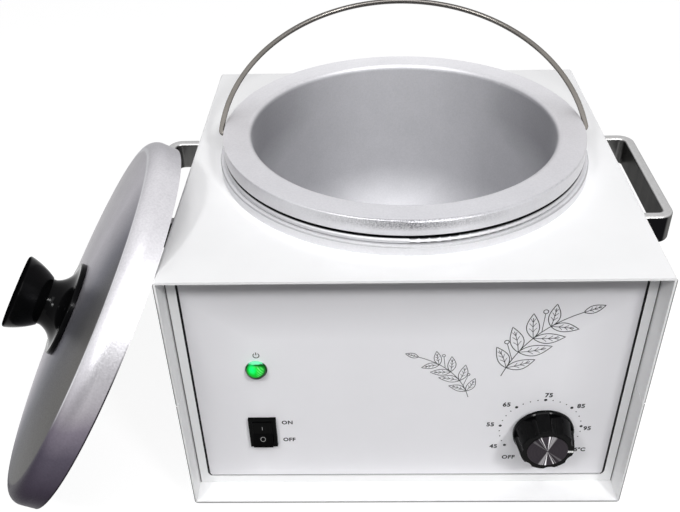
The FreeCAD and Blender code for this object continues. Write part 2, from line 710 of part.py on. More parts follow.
def insulation_jacket():
    """The glass-fibre jacket round the heater, open at the back for the lugs."""
    inner = WELL_OUT + size["touch_gap"] * 2 + size["band_wall"]
    low, high = size["band_low"] - size["jacket_spread"], size["band_height"]
    steps = [(inner, 0), (inner + size["jacket_wall"], 0),
             (inner + size["jacket_wall"], high + size["jacket_spread"] * 2),
             (inner, high + size["jacket_spread"] * 2)]
    ring = spin("Jacket", steps, (0, SHIFT, low))
    half = size["jacket_opening"] / 2
    mouth = box((-half, SHIFT, low - 1), (half, HALF_DEPTH, CEILING))
    return keep(cut(ring, mouth, ahead_of_well(low)), "insulation_jacket")


def saddle_clip(label, radius, spot):
    """A strap under the well's floor that holds a round sensor against it."""
    gap, wall, ear = size["touch_gap"], size["clip_wall"], size["clip_ear"]
    inner = radius + gap
    outer = inner + wall
    steps = [(-outer - ear, inner), (-outer - ear, inner - wall), (-outer, inner - wall),
             (-outer, 0), (0, -outer, outer), (outer, 0, outer), (outer, inner - wall),
             (outer + ear, inner - wall), (outer + ear, inner), (inner, inner), (inner, 0),
             (0, -inner, -inner), (-inner, 0, -inner), (-inner, inner)]
    body = body_for("Clip")
    pad(body, outline(sketch_on(body, "YZ_Plane"), steps), size["clip_width"])
    x, y, z = spot
    return keep(place(body, (x - size["clip_width"] / 2, y, z)), label)


def sensors():
    """The thermostat's bulb and the thermal fuse, clipped under the well's floor."""
    bulb, fuse_radius = size["bulb_radius"], size["fuse_radius"]
    bulb_z = WELL_UNDER - size["touch_gap"] - bulb
    fuse_z = WELL_UNDER - size["touch_gap"] - fuse_radius
    fuse_y = SHIFT + size["fuse_offset"]
    keep(rod(bulb, (-size["bulb_length"] / 2, SHIFT, bulb_z), "X", size["bulb_length"]),
         "sensing_bulb")
    saddle_clip("bulb_clip", bulb, (0.0, SHIFT, bulb_z))
    keep(rod(fuse_radius, (-size["fuse_length"] / 2, fuse_y, fuse_z), "X", size["fuse_length"]),
         "thermal_fuse")
    saddle_clip("thermal_fuse_clip", fuse_radius, (0.0, fuse_y, fuse_z))


# ---------------------------------------------------------------- pot, bail and lid

def wax_pot():
    """The lift-out pot: a round-bottomed tub with a flat rim and a turned-down skirt."""
    inner, wall, corner = size["pot_radius"], size["pot_wall"], size["pot_corner"]
    outer, rim, soft, mouth = inner + wall, size["rim_radius"], size["rim_round"], size["mouth_round"]
    low = POT_FLOOR - wall
    skirt = RIM - size["skirt_height"]
    steps = [(0, low), (outer - corner - wall, low), (outer, low + corner + wall, corner + wall),
             (outer, RIM - wall), (rim - wall, RIM - wall), (rim - wall, skirt), (rim, skirt),
             (rim, RIM - soft), (rim - soft, RIM, soft), (inner + mouth, RIM),
             (inner, RIM - mouth, mouth), (inner, POT_FLOOR + corner),
             (inner - corner, POT_FLOOR, -corner), (0, POT_FLOOR)]
    tub = spin("Pot", steps, (0, SHIFT, 0))
    reach = rim + wall
    bore = rod(size["wire_radius"] + size["pin_gap"], (-reach, SHIFT, HINGE), "X", wall * 3)
    other = rod(size["wire_radius"] + size["pin_gap"], (reach, SHIFT, HINGE), "-X", wall * 3)
    return keep(cut(tub, bore, other), "wax_pot")


def bail_handle():
    """The wire bail: a half ring that ends in two pins, leaning back from upright."""
    radius, bend, wire = size["bail_radius"], size["bail_bend"], size["wire_radius"]
    inner = radius - bend
    elbow = root(inner * inner - bend * bend)
    across, up = elbow * radius / inner, bend * radius / inner
    pin = elbow - size["pin_length"]
    body = body_for("Bail")
    path = sketch_on(body, "XZ_Plane")
    steps = [(-pin, 0), (-elbow, 0), (-across, up, -bend), (0, radius, -radius),
             (across, up, -radius), (elbow, 0, -bend), (pin, 0)]
    open_path(path, steps)
    section = circle_in(sketch_on(body, "YZ_Plane", -pin), wire)
    pipe = body.newObject("PartDesign::AdditivePipe", "Wire")
    pipe.Profile = section
    pipe.Spine = (path, [f"Edge{index}" for index in range(1, len(steps))])
    pipe.Mode = "Frenet"
    lean = FreeCAD.Rotation(FreeCAD.Vector(1, 0, 0), -size["bail_lean"])
    place(body, (0, SHIFT, HINGE), lean)
    body.setExpression(".Placement.Rotation.Angle", (-size["bail_lean"]).formula)
    return keep(body, "bail_handle")


def open_path(sketch, steps):
    """A path of lines and arcs that isn't closed."""
    edges = []
    for previous, step in zip(steps, steps[1:]):
        start = [float(number) for number in previous[:2]]
        end = [float(number) for number in step[:2]]
        if len(step) == 2:
            line = Part.LineSegment(FreeCAD.Vector(*start, 0), FreeCAD.Vector(*end, 0))
            edges.append((sketch.addGeometry(line), 1, 2))
        else:
            arc = sketch.addGeometry(arc_between(start, end, float(step[2])))
            edges.append((arc, 1, 2) if step[2] > 0 else (arc, 2, 1))
    for index, step in enumerate(steps[1:]):
        edge, first, last = edges[index]
        if index == 0:
            for kind, number in zip(("DistanceX", "DistanceY"), steps[0]):
                measure(sketch, Sketcher.Constraint(kind, -1, 1, edge, first, float(number)), number)
        else:
            before, _, its_last = edges[index - 1]
            sketch.addConstraint(Sketcher.Constraint("Coincident", before, its_last, edge, first))
        for kind, number in zip(("DistanceX", "DistanceY"), step):
            measure(sketch, Sketcher.Constraint(kind, -1, 1, edge, last, float(number)), number)
        if len(step) == 3:
            radius = step[2] if step[2] > 0 else -step[2]
            measure(sketch, Sketcher.Constraint("Radius", edge, float(radius)), radius)


def lid_lean():
    """The lid's placement: it stands on the table and leans on the casing and on the handle."""
    tilt, radius = math.radians(size["lean_tilt"]), float(size["lid_radius"])
    gap = float(size["touch_gap"])

    def inset(rounding):
        """How far the leaning face passes inside the sharp corner of a rounded edge."""
        return (rounding * (math.cos(tilt) + math.sin(tilt) - 1) - gap) / math.cos(tilt)

    corner = FreeCAD.Vector(-HALF_WIDTH + inset(size["bend_inside"] + WALL),
                            FRONT + size["lean_lap"], float(TOP))
    grip = FreeCAD.Vector(-HALF_WIDTH - size["handle_reach"] + inset(size["handle_round"]),
                          size["lean_handle"], float(HANDLE_TOP))
    across, along, up = grip - corner
    swing = math.hypot(across, along)
    yaw = math.atan2(along, -across) - math.acos(-math.tan(tilt) * up / swing)
    normal = FreeCAD.Vector(-math.cos(tilt) * math.cos(yaw), math.cos(tilt) * math.sin(yaw),
                            math.sin(tilt))
    z = radius * math.cos(tilt) + gap
    # the lid's rim crosses the top of the handle above the lid's middle and behind it
    rise = (grip.z - z) / math.cos(tilt)
    behind = math.sqrt(radius * radius - rise * rise)
    y = (grip.y + float(size["lean_ease"]) - behind * math.cos(yaw)
         + rise * math.sin(tilt) * math.sin(yaw))
    x = corner.x + (normal.y * (corner.y - y) + normal.z * (corner.z - z)) / normal.x
    return FreeCAD.Placement(FreeCAD.Vector(x, y, z),
                             FreeCAD.Rotation(FreeCAD.Vector(0, 0, 1), normal))


def dome_radius(reach, rise):
    """The radius of a shallow dome from its reach and its rise."""
    return (reach * reach + rise * rise) / (rise * 2)


def lid_shell():
    """The spun lid: a skirt, a rounded edge and a shallow dome with a hole for the knob."""
    radius, wall, soft = size["lid_radius"], size["lid_wall"], size["lid_round"]
    high, dome = size["lid_height"], size["lid_dome"]
    reach = radius - soft
    curve = dome_radius(reach, dome)
    steps = [(radius - wall, 0), (radius, 0), (radius, high - soft), (reach, high, soft),
             (0, high + dome, curve), (0, high + dome - wall), (reach, high - wall, -curve),
             (radius - wall, high - soft, -(soft - wall))]
    shell = spin("Lid", steps, (0, 0, 0))
    hole = rod(size["lid_hole"], (0, 0, high), "Z", dome * 2)
    return shell, hole


def lid_knob():
    """The spool-shaped knob: a wide flange, a narrow neck and a flared head."""
    base, edge, neck = size["button_base"], size["button_edge"], size["button_neck"]
    waist, head, high = size["button_waist"], size["button_head"], size["button_height"]
    soft, step = size["button_soft"], size["button_step"]
    steps = [(0, 0), (base, 0), (base, edge - soft), (base - soft, edge, soft),
             (neck, waist - step, -size["button_sweep"]), (neck, waist), (neck + soft, waist),
             (head, high - soft * 2, size["button_flare"]), (head - soft * 2, high, soft * 2),
             (0, high)]
    return spin("Knob", steps, (0, 0, size["lid_height"] + size["lid_dome"]))


def lid():
    """The lid with its knob, screw and washer, all leaning together."""
    shell, hole = lid_shell()
    top = size["lid_height"] + size["lid_dome"]
    under = top - size["lid_wall"]
    thick, radius = size["washer_wall"], size["screw_radius"]
    bore = rod(radius, (0, 0, top - 1), "Z", size["screw_length"] * 2 + 1)
    seat = under - thick - size["pin_gap"] / 2
    washer = cut(rod(size["washer_radius"], (0, 0, seat), "Z", thick),
                 rod(radius + size["fit_gap"], (0, 0, seat - 1), "Z", thick + 2))
    pieces = {"lid_shell": cut(shell, hole), "lid_knob": cut(lid_knob(), bore),
              "lid_knob_washer": washer,
              "lid_knob_screw": screw((0, 0, seat), "Z", size["screw_length"] * 2)}
    for label, piece in pieces.items():
        piece.Placement = lid_lean()
        keep(piece, label)


# ---------------------------------------------------------------- controls

def thermostat():
    """The thermostat behind the bulkhead: body, threaded bushing, nut and shaft."""
    half, rise = size["body_width"] / 2, size["body_height"] / 2
    back = BULKHEAD_BACK + size["body_depth"]
    block = box((KNOB_X - half, BULKHEAD_BACK, CONTROL - rise), (KNOB_X + half, back, CONTROL + rise))
    bushing = rod(size["bushing_radius"], (KNOB_X, BULKHEAD_BACK, CONTROL), "-Y",
                  size["bushing_length"] + size["bulkhead_wall"])
    tabs = [spade((x, back, TAB_Z), "Y") for x in TAB_X]
    shaft_start = BULKHEAD_BACK + size["shaft_sink"]
    bore = rod(size["shaft_radius"] + size["pin_gap"], (KNOB_X, shaft_start + 0.5, CONTROL), "-Y",
               size["shaft_sink"] + size["bushing_length"] + WALL * 3)
    keep(cut(fuse(block, bushing, *tabs), bore), "thermostat_body")
    nut = doc.addObject("Part::Prism", "Nut")
    nut.Polygon = 6
    bind(nut, "Circumradius", size["nut_radius"])
    bind(nut, "Height", size["nut_height"])
    place(nut, (KNOB_X, PANEL_BACK, CONTROL), FreeCAD.Rotation(FreeCAD.Vector(1, 0, 0), 90))
    hole = rod(size["bushing_radius"] + size["pin_gap"], (KNOB_X, PANEL_BACK + 1, CONTROL), "-Y",
               size["nut_height"] + 2)
    keep(cut(nut, hole), "thermostat_nut")
    length = shaft_start - KNOB_BACK + size["grip_bore"] + size["pocket_depth"] - 0.5
    keep(rod(size["shaft_radius"], (KNOB_X, shaft_start, CONTROL), "-Y", length),
         "thermostat_shaft")


TAB_X = [KNOB_X - size["tab_spread"], KNOB_X + size["tab_spread"]]
TAB_Z = CONTROL - size["tab_drop"]
SWITCH_BACK = PANEL + size["housing_depth"]
KNOB_BACK = PANEL - size["knob_lift"]
KNOB_LENGTH = size["knob_height"] - size["knob_lift"] - size["cap_proud"]
LOBES = 7


def control_knob():
    """The fluted knob with its cap and pointer, turned so that the pointer shows its setting."""
    front, flange = KNOB_LENGTH, size["flange_height"]
    base, tip, radius = size["grip_base"], size["grip_front"], size["scallop_radius"]
    pocket, deep = size["nut_pocket"], size["pocket_depth"]
    bore = size["shaft_radius"] + size["pin_gap"] / 4
    seat = front - size["cap_height"] + size["cap_proud"]
    cap, soft = size["cap_radius"] + size["pin_gap"], size["knob_soft"]
    steps = [(pocket, 0), (size["knob_radius"], 0), (size["knob_radius"], flange),
             (base, flange + soft), (tip, front - soft), (tip - soft, front, soft), (cap, front),
             (cap, seat), (0, seat), (0, deep + size["grip_bore"]),
             (bore, deep + size["grip_bore"]), (bore, deep), (pocket, deep)]
    body = spin("Grip", steps, (0, 0, 0))
    ends = ((base, flange + soft), (tip, front + soft))
    rings = [circle_in(sketch_on(body, "XY_Plane", height), radius, 0.0,
                       reach + radius - size["scallop_depth"]) for reach, height in ends]
    scallop = body.newObject("PartDesign::SubtractiveLoft", "Scallop")
    scallop.Profile = rings[0]
    scallop.Sections = [(rings[1], [""])]
    doc.recompute()
    pattern = body.newObject("PartDesign::PolarPattern", "Scallops")
    pattern.Originals = [scallop]
    upright = next(item for item in body.Origin.OriginFeatures if item.Role == "Z_Axis")
    pattern.Axis = (upright, [""])
    pattern.Angle = 360
    pattern.Occurrences = LOBES
    body.Tip = pattern
    cap_disc = rod(size["cap_radius"], (0, 0, seat), "Z", size["cap_height"])
    half, start = size["pointer_width"] / 2, cap
    pointer = box((-half, start, front),
                  (half, start + size["pointer_length"], front + size["pointer_height"]))
    # the pointer lies half a pitch from a scallop, and the scallops start at the local +Y
    lobe = 180 / LOBES
    for label, thing, phase in (("control_knob", body, lobe), ("knob_cap", cap_disc, 0),
                                ("knob_pointer", pointer, 0)):
        spot = (KNOB_X, KNOB_BACK, CONTROL)
        wrap = group(thing)
        turn = knob_turn(phase)
        place(wrap, spot, turn)
        keep(wrap, label)


def knob_turn(phase):
    """From the knob's own frame, axis up and pointer at +Y, to its setting on the panel."""
    forward = FreeCAD.Rotation(FreeCAD.Vector(1, 0, 0), 90)
    setting = FreeCAD.Rotation(FreeCAD.Vector(0, 1, 0), float(size["pointer_turn"]) + phase)
    return setting * forward


def pilot_lamp():
    """The lamp: a domed lens, a body through the panel and its push nut."""
    radius, rim, rise = size["lens_radius"], size["lens_rim"], size["lens_rise"]
    steps = [(0, 0), (radius, 0), (radius, rim), (0, rim + rise, dome_radius(radius, rise))]
    lens = spin("Lens", steps, (0, 0, 0))
    forward = FreeCAD.Rotation(FreeCAD.Vector(1, 0, 0), 90)
    place(lens, (SWITCH_X, PANEL, LAMP_Z), forward)
    keep(lens, "pilot_lamp_lens")
    keep(rod(size["lamp_radius"], (SWITCH_X, PANEL, LAMP_Z), "Y", size["lamp_depth"]),
         "pilot_lamp_body")
    wall = size["push_nut_wall"]
    nut = cut(rod(size["push_nut_radius"], (SWITCH_X, BULKHEAD_BACK, LAMP_Z), "Y", wall),
              rod(size["lamp_radius"] + size["pin_gap"], (SWITCH_X, BULKHEAD_BACK - 1, LAMP_Z),
                  "Y", wall + 2))
    keep(nut, "lamp_push_nut")


def power_switch():
    """The rocker switch: housing with bezel, rocker on its pivots, and three spades."""
    half, rise = size["bezel_width"] / 2, size["bezel_height"] / 2
    front, depth = PANEL - size["bezel_wall"], size["housing_depth"]
    pivot = front + size["pivot_sink"]
    bezel = box((SWITCH_X - half, front, CONTROL - rise), (SWITCH_X + half, PANEL, CONTROL + rise))
    shell = around_switch(0, PANEL, PANEL + depth)
    gap = size["rocker_gap"]
    width, tall = size["rocker_width"] / 2 + gap, size["rocker_radius"] + gap
    cavity = box((SWITCH_X - width, front - 1, CONTROL - tall),
                 (SWITCH_X + width, PANEL + depth - size["cavity_floor"], CONTROL + tall))
    pin, reach = size["pivot_radius"], size["rocker_width"] / 2 + size["pivot_length"]
    socket = rod(pin + size["pin_gap"], (SWITCH_X - reach - gap, pivot, CONTROL), "X",
                 (reach + gap) * 2)
    keep(cut(fuse(bezel, shell), cavity, socket), "switch_housing")
    body = body_for("Rocker")
    wide = size["rocker_width"]
    sketch = outline(sketch_on(body, "YZ_Plane", -wide / 2), rocker_steps())
    pad(body, sketch, wide)
    place(body, (SWITCH_X, pivot, CONTROL))
    pins = rod(pin, (SWITCH_X - reach, pivot, CONTROL), "X", reach * 2)
    keep(fuse(body, pins), "switch_rocker")
    spades = [spade((SWITCH_X, SWITCH_BACK, CONTROL + step * size["spade_pitch"]), "Y")
              for step in (-1, 0, 1)]
    keep(group(*spades), "switch_terminals")


def rocker_steps():
    """The rocker's section about its pivot, with its upper half pressed in.

    Each face meets the round ends where its own line leaves their circle.
    """
    radius, face, back, tilt = (float(size[name]) for name in
                                ("rocker_radius", "rocker_face", "rocker_back", "rocker_tilt"))
    slope = math.radians(tilt)
    reach = radius * math.cos(math.asin(face * math.cos(slope) / radius) + slope)
    out = face + reach * math.tan(slope)
    deep = math.sqrt(radius ** 2 - back ** 2)

    def turned(outward, up):
        """A point of the level rocker after it is tipped to its pressed pose."""
        return (-outward * math.cos(slope) + up * math.sin(slope),
                up * math.cos(slope) + outward * math.sin(slope))

    spots = [turned(face, 0), turned(out, -reach), turned(-back, -deep), turned(-back, deep),
             turned(out, reach)]
    return [spots[0], spots[1], (*spots[2], radius), spots[3], (*spots[4], radius)]


# ---------------------------------------------------------------- inlet and wiring

INLET_X = -size["inlet_offset"]
INLET_Z = BASE + size["inlet_rise"]
INLET_BACK = REAR_OUT - size["inlet_depth"]
BLOCK_Y = size["block_back"]
BLOCK_Z = FLOOR + size["block_height"] / 2
STUD = (-size["stud_offset"], size["stud_back"], FLOOR)
TAG_Z = FLOOR + size["head_height"] + size["tag_wall"] / 2


def inlet_screw_places():
    """The two screws of the inlet's flange."""
    reach = size["inlet_plate"] / 2 - size["head_radius"] - size["screw_radius"]
    return [INLET_X - reach, INLET_X + reach]


def inlet_poles():
    """The places of the live, neutral and earth contacts."""
    spread, low = size["contact_spread"], INLET_Z - size["contact_drop"]
    return [(INLET_X - spread, low), (INLET_X + spread, low),
            (INLET_X, INLET_Z + size["earth_rise"])]


def spade(root_spot, aim):
    """A flat spade that stands on a face and points along Y or against it."""
    x, y, z = root_spot
    half, thick, length = size["spade_width"] / 2, size["tag_wall"] / 2, size["tag_length"]
    near, far = (y, y + length) if aim == "Y" else (y - length, y)
    return box((x - half, near, z - thick), (x + half, far, z + thick))


def power_inlet():
    """The inlet in the rear panel: flange, socket, three contacts and two screws."""
    half, rise = size["inlet_width"] / 2, size["inlet_height"] / 2
    plate, flange = size["inlet_plate"] / 2, size["inlet_flange"]
    wall, out = size["socket_wall"], REAR_OUT + size["inlet_flange"]
    front = box((INLET_X - plate, REAR_OUT, INLET_Z - rise), (INLET_X + plate, out, INLET_Z + rise))
    shell = box((INLET_X - half, INLET_BACK, INLET_Z - rise),
                (INLET_X + half, REAR_OUT, INLET_Z + rise))
    socket = box((INLET_X - half + wall, out - size["socket_depth"], INLET_Z - rise + wall),
                 (INLET_X + half - wall, out + 1, INLET_Z + rise - wall))
    bores = [rod(HOLE, (x, REAR_OUT - 1, INLET_Z), "Y", flange + 2) for x in inlet_screw_places()]
    keep(cut(fuse(front, shell), socket, *bores), "power_inlet")
    start = out - size["socket_depth"]
    thin, tall = size["contact_wall"] / 2, size["contact_height"] / 2
    contacts = [box((x - thin, start, z - tall), (x + thin, start + size["contact_length"], z + tall))
                for x, z in inlet_poles()]
    spades = [spade((x, INLET_BACK, z), "-Y") for x, z in inlet_poles()]
    keep(group(*contacts, *spades), "inlet_contacts")
    keep(group(*[screw((x, out, INLET_Z), "-Y") for x in inlet_screw_places()]), "inlet_screws")


def terminal_block():
    """The ceramic block on the bottom plate, with its screws, and the earth stud beside it."""
    half, width, high = size["block_length"] / 2, size["block_width"] / 2, size["block_height"]
    back = BLOCK_Y
    block = box((-half, back - width, FLOOR), (half, back + width, FLOOR + high))
    spots = [(x, back) for x in (-half / 2, half / 2)]
    holes = [rod(HOLE, (x, y, FLOOR - 1), "Z", high + 2) for x, y in spots]
    keep(cut(block, *holes), "terminal_block")
    bolts = [fuse(rod(size["screw_radius"], (x, y, FLOOR), "Z", high),
                  rod(size["head_radius"], (x, y, FLOOR + high), "Z", size["head_height"]))
             for x, y in spots]
    keep(group(*bolts), "terminal_block_screws")
    tag, x, y = size["tag_width"] / 2, STUD[0], STUD[1]
    stud = fuse(rod(size["screw_radius"], STUD, "Z", size["screw_length"]),
                rod(size["head_radius"], STUD, "Z", size["head_height"]),
                box((x - tag, y - tag, TAG_Z - size["tag_wall"] / 2),
                    (x + tag, y + size["tag_length"], TAG_Z + size["tag_wall"] / 2)))
    keep(stud, "earth_stud")


def wiring():
    """The wires between the inlet, the switch, the thermostat, the fuse, the lamp and the band."""
    reach = size["tag_length"]
    (live_x, pole_z), (neutral_x, _), (earth_x, earth_z) = inlet_poles()
    inlet_y, switch_y = INLET_BACK - reach, SWITCH_BACK + reach
    tab_y = BULKHEAD_BACK + size["body_depth"] + reach
    fuse_x, fuse_y = size["fuse_length"] / 2, SHIFT + size["fuse_offset"]
    fuse_z = WELL_UNDER - size["touch_gap"] - size["fuse_radius"]
    live, neutral = (live_x, inlet_y, pole_z), (neutral_x, inlet_y, pole_z)
    low_spade = (SWITCH_X, switch_y, CONTROL - size["spade_pitch"])
    mid_spade = (SWITCH_X, switch_y, CONTROL)
    tabs = [(x, tab_y, TAB_Z) for x in TAB_X]
    fuse_right, fuse_left = (fuse_x, fuse_y, fuse_z), (-fuse_x, fuse_y, fuse_z)
    bands = [(x, TERMINAL_Y, TERMINAL_Z) for x in (-TERMINAL_X, TERMINAL_X)]
    routes = [
        [live, lead(live, "-Y", 23), *inside((-84, 36, 38), (-90, 0, 36), (-87, -34, 40)),
         lead(low_spade, "Y", 20), low_spade],
        [mid_spade, lead(mid_spade, "Y", 18),
         *inside((-62, -44, 46), (-34, -36, 40), (2, -34, 36), (36, -33, 38), (58, -32, 44)),
         lead(tabs[0], "Y", 17.5), tabs[0]],
        [tabs[1], lead(tabs[1], "Y", 19.5), *inside((80, -16, 51), (64, 12, 57), (40, 28, 62)),
         lead(fuse_right, "X", 15), fuse_right],
        [fuse_left, lead(fuse_left, "-X", 15),
         *inside((-46, 44, 60), (-62, 66, 56), (-62, 90, 62), (-48, 100.4, 80)),
         lead(bands[0], "Z", -17), bands[0]],
    ]
    tube("live_wires", routes, size["lead_radius"])
    sides = [(side * size["block_length"] / 2, BLOCK_Y, BLOCK_Z) for side in SIDES]
    front = (-size["block_length"] / 4, BLOCK_Y - size["block_width"] / 2, BLOCK_Z)
    lamp = (SWITCH_X, PANEL + size["lamp_depth"], LAMP_Z)
    routes = [
        [neutral, lead(neutral, "-Y", 15), *inside((-54, 64, 32)), lead(sides[0], "-X", 17),
         sides[0]],
        [sides[1], lead(sides[1], "X", 17), *inside((54, 68, 30), (62, 80, 50), (54, 94, 72)),
         lead(bands[1], "Z", -22), bands[1]],
        [front, lead(front, "-Y", 16),
         *inside((-24, 12, 16), (-46, -10, 16), (-72, -28, 22), (-96, -42, 38),
                 (-100, -54, 64), (-90, -54, 88)),
         lead(lamp, "Y", 17), lamp],
    ]
    tube("neutral_wires", routes, size["lead_radius"])
    earth = (earth_x, inlet_y, earth_z)
    tag = (STUD[0], STUD[1] + reach, TAG_Z)
    route = [earth, lead(earth, "-Y", 17), *inside((-68, 58, 32)), lead(tag, "Y", 16), tag]
    tube("earth_wire", [route], size["lead_radius"])


def capillary():
    """The capillary tube from the thermostat's body to its bulb."""
    start = (KNOB_X - size["capillary_side"], BULKHEAD_BACK + size["body_depth"],
             CONTROL + size["capillary_rise"])
    bulb_z = WELL_UNDER - size["touch_gap"] - size["bulb_radius"]
    end = (size["bulb_length"] / 2, SHIFT, bulb_z)
    route = [start, lead(start, "Y", 17.5), *inside((70, -36, 58), (76, -14, 60)),
             lead(end, "X", 22), end]
    tube("capillary_tube", [route], size["capillary_radius"])


def build():
    """Make every sub-part."""
    top_cover()
    base_tray()
    front_frame()
    front_panel()
    front_bulkhead()
    rear_panel()
    casing_screws()
    feet()
    handles()
    trim_ring()
    heater_well()
    well_clamp()
    band_heater()
    insulation_jacket()
    sensors()
    thermostat()
    control_knob()
    pilot_lamp()
    power_switch()
    power_inlet()
    terminal_block()
    wiring()
    capillary()
    wax_pot()
    bail_handle()
    lid()


def check_and_write():
    """Stop on any failed object, then write each sub-part to its own file."""
    doc.recompute()
    failed = [thing.Name for thing in doc.Objects
              if "Invalid" in thing.State or "Error" in thing.State]
    failed += [thing.Label for thing in nodes
               if thing.Shape.isNull() or not thing.Shape.isValid()]
    if failed:
        raise RuntimeError("failed: " + ", ".join(failed))
    os.makedirs("parts", exist_ok=True)
    for thing in nodes:
        thing.Shape.exportStep(os.path.join("parts", thing.Label + ".step"))
        print(thing.Label, len(thing.Shape.Solids), round(thing.Shape.Volume, 1))


build()
check_and_write()
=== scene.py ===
"""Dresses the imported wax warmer: print, bail, lamp lens, screw heads, materials, light and camera.

Lengths in the tables of the print are millimetres in the model's own frame; all others are metres.
"""
import json
import math
import random

import bmesh
import bpy
from mathutils import Matrix, Vector


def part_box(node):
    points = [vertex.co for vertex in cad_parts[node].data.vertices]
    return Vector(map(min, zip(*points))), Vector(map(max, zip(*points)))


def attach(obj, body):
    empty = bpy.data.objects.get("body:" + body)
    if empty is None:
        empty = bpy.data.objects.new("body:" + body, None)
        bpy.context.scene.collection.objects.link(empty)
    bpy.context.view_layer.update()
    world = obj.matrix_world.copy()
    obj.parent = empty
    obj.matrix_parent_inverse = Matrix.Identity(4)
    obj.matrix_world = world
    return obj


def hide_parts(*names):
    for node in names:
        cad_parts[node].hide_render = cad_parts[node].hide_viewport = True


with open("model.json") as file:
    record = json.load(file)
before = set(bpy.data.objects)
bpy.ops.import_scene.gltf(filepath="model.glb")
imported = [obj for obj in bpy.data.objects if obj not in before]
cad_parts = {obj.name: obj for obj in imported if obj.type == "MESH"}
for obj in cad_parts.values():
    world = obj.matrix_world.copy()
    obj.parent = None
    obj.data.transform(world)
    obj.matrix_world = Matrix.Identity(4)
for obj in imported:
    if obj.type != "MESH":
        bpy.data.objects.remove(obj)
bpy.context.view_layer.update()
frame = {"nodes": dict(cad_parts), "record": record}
nodes = frame["nodes"]
MM = 0.001


# ---------------------------------------------------------------- node trees

class Nodes:
    """A node tree, and short ways to add to it."""

    def __init__(self, owner):
        owner.use_nodes = True
        self.tree = owner.node_tree

    def node(self, kind, inputs=(), **settings):
        """A node with its settings, its inputs set or linked, and its first output returned."""
        made = self.tree.nodes.new(kind)
        for setting, value in settings.items():
            setattr(made, setting, value)
        for place, value in dict(inputs).items():
            if isinstance(value, bpy.types.NodeSocket):
                self.tree.links.new(value, made.inputs[place])
            else:
                made.inputs[place].default_value = value
        return made.outputs[0]

    def math(self, operation, *values):
        """A Math node."""
        return self.node("ShaderNodeMath", enumerate(values), operation=operation)

    def vector(self, operation, *values, output=0):
        """A Vector Math node."""
        result = self.node("ShaderNodeVectorMath", enumerate(values), operation=operation)
        return result.node.outputs[output]

    def parts(self, value):
        """The three parts of a vector."""
        return self.node("ShaderNodeSeparateXYZ", {0: value}).node.outputs

    def span(self, value, start, end, low=0.0, high=1.0):
        """A value moved from one range to another, and held at its ends."""
        return self.node("ShaderNodeMapRange", {"Value": value, "From Min": start, "From Max": end,
                                                "To Min": low, "To Max": high})

    def between(self, share, first, second):
        """The first number where the share is 0 and the second where it is 1."""
        return self.node("ShaderNodeMix", {0: share, 2: first, 3: second})

    def both(self, *shares):
        """The product of shares: 1 only where all of them are 1."""
        total = shares[0]
        for share in shares[1:]:
            total = self.math("MULTIPLY", total, share)
        return total

    def rays(self, *kinds):
        """1 for rays of the given kinds, and else 0."""
        path = self.node("ShaderNodeLightPath").node
        total = path.outputs[kinds[0]]
        for kind in kinds[1:]:
            total = self.math("MAXIMUM", total, path.outputs[kind])
        return total


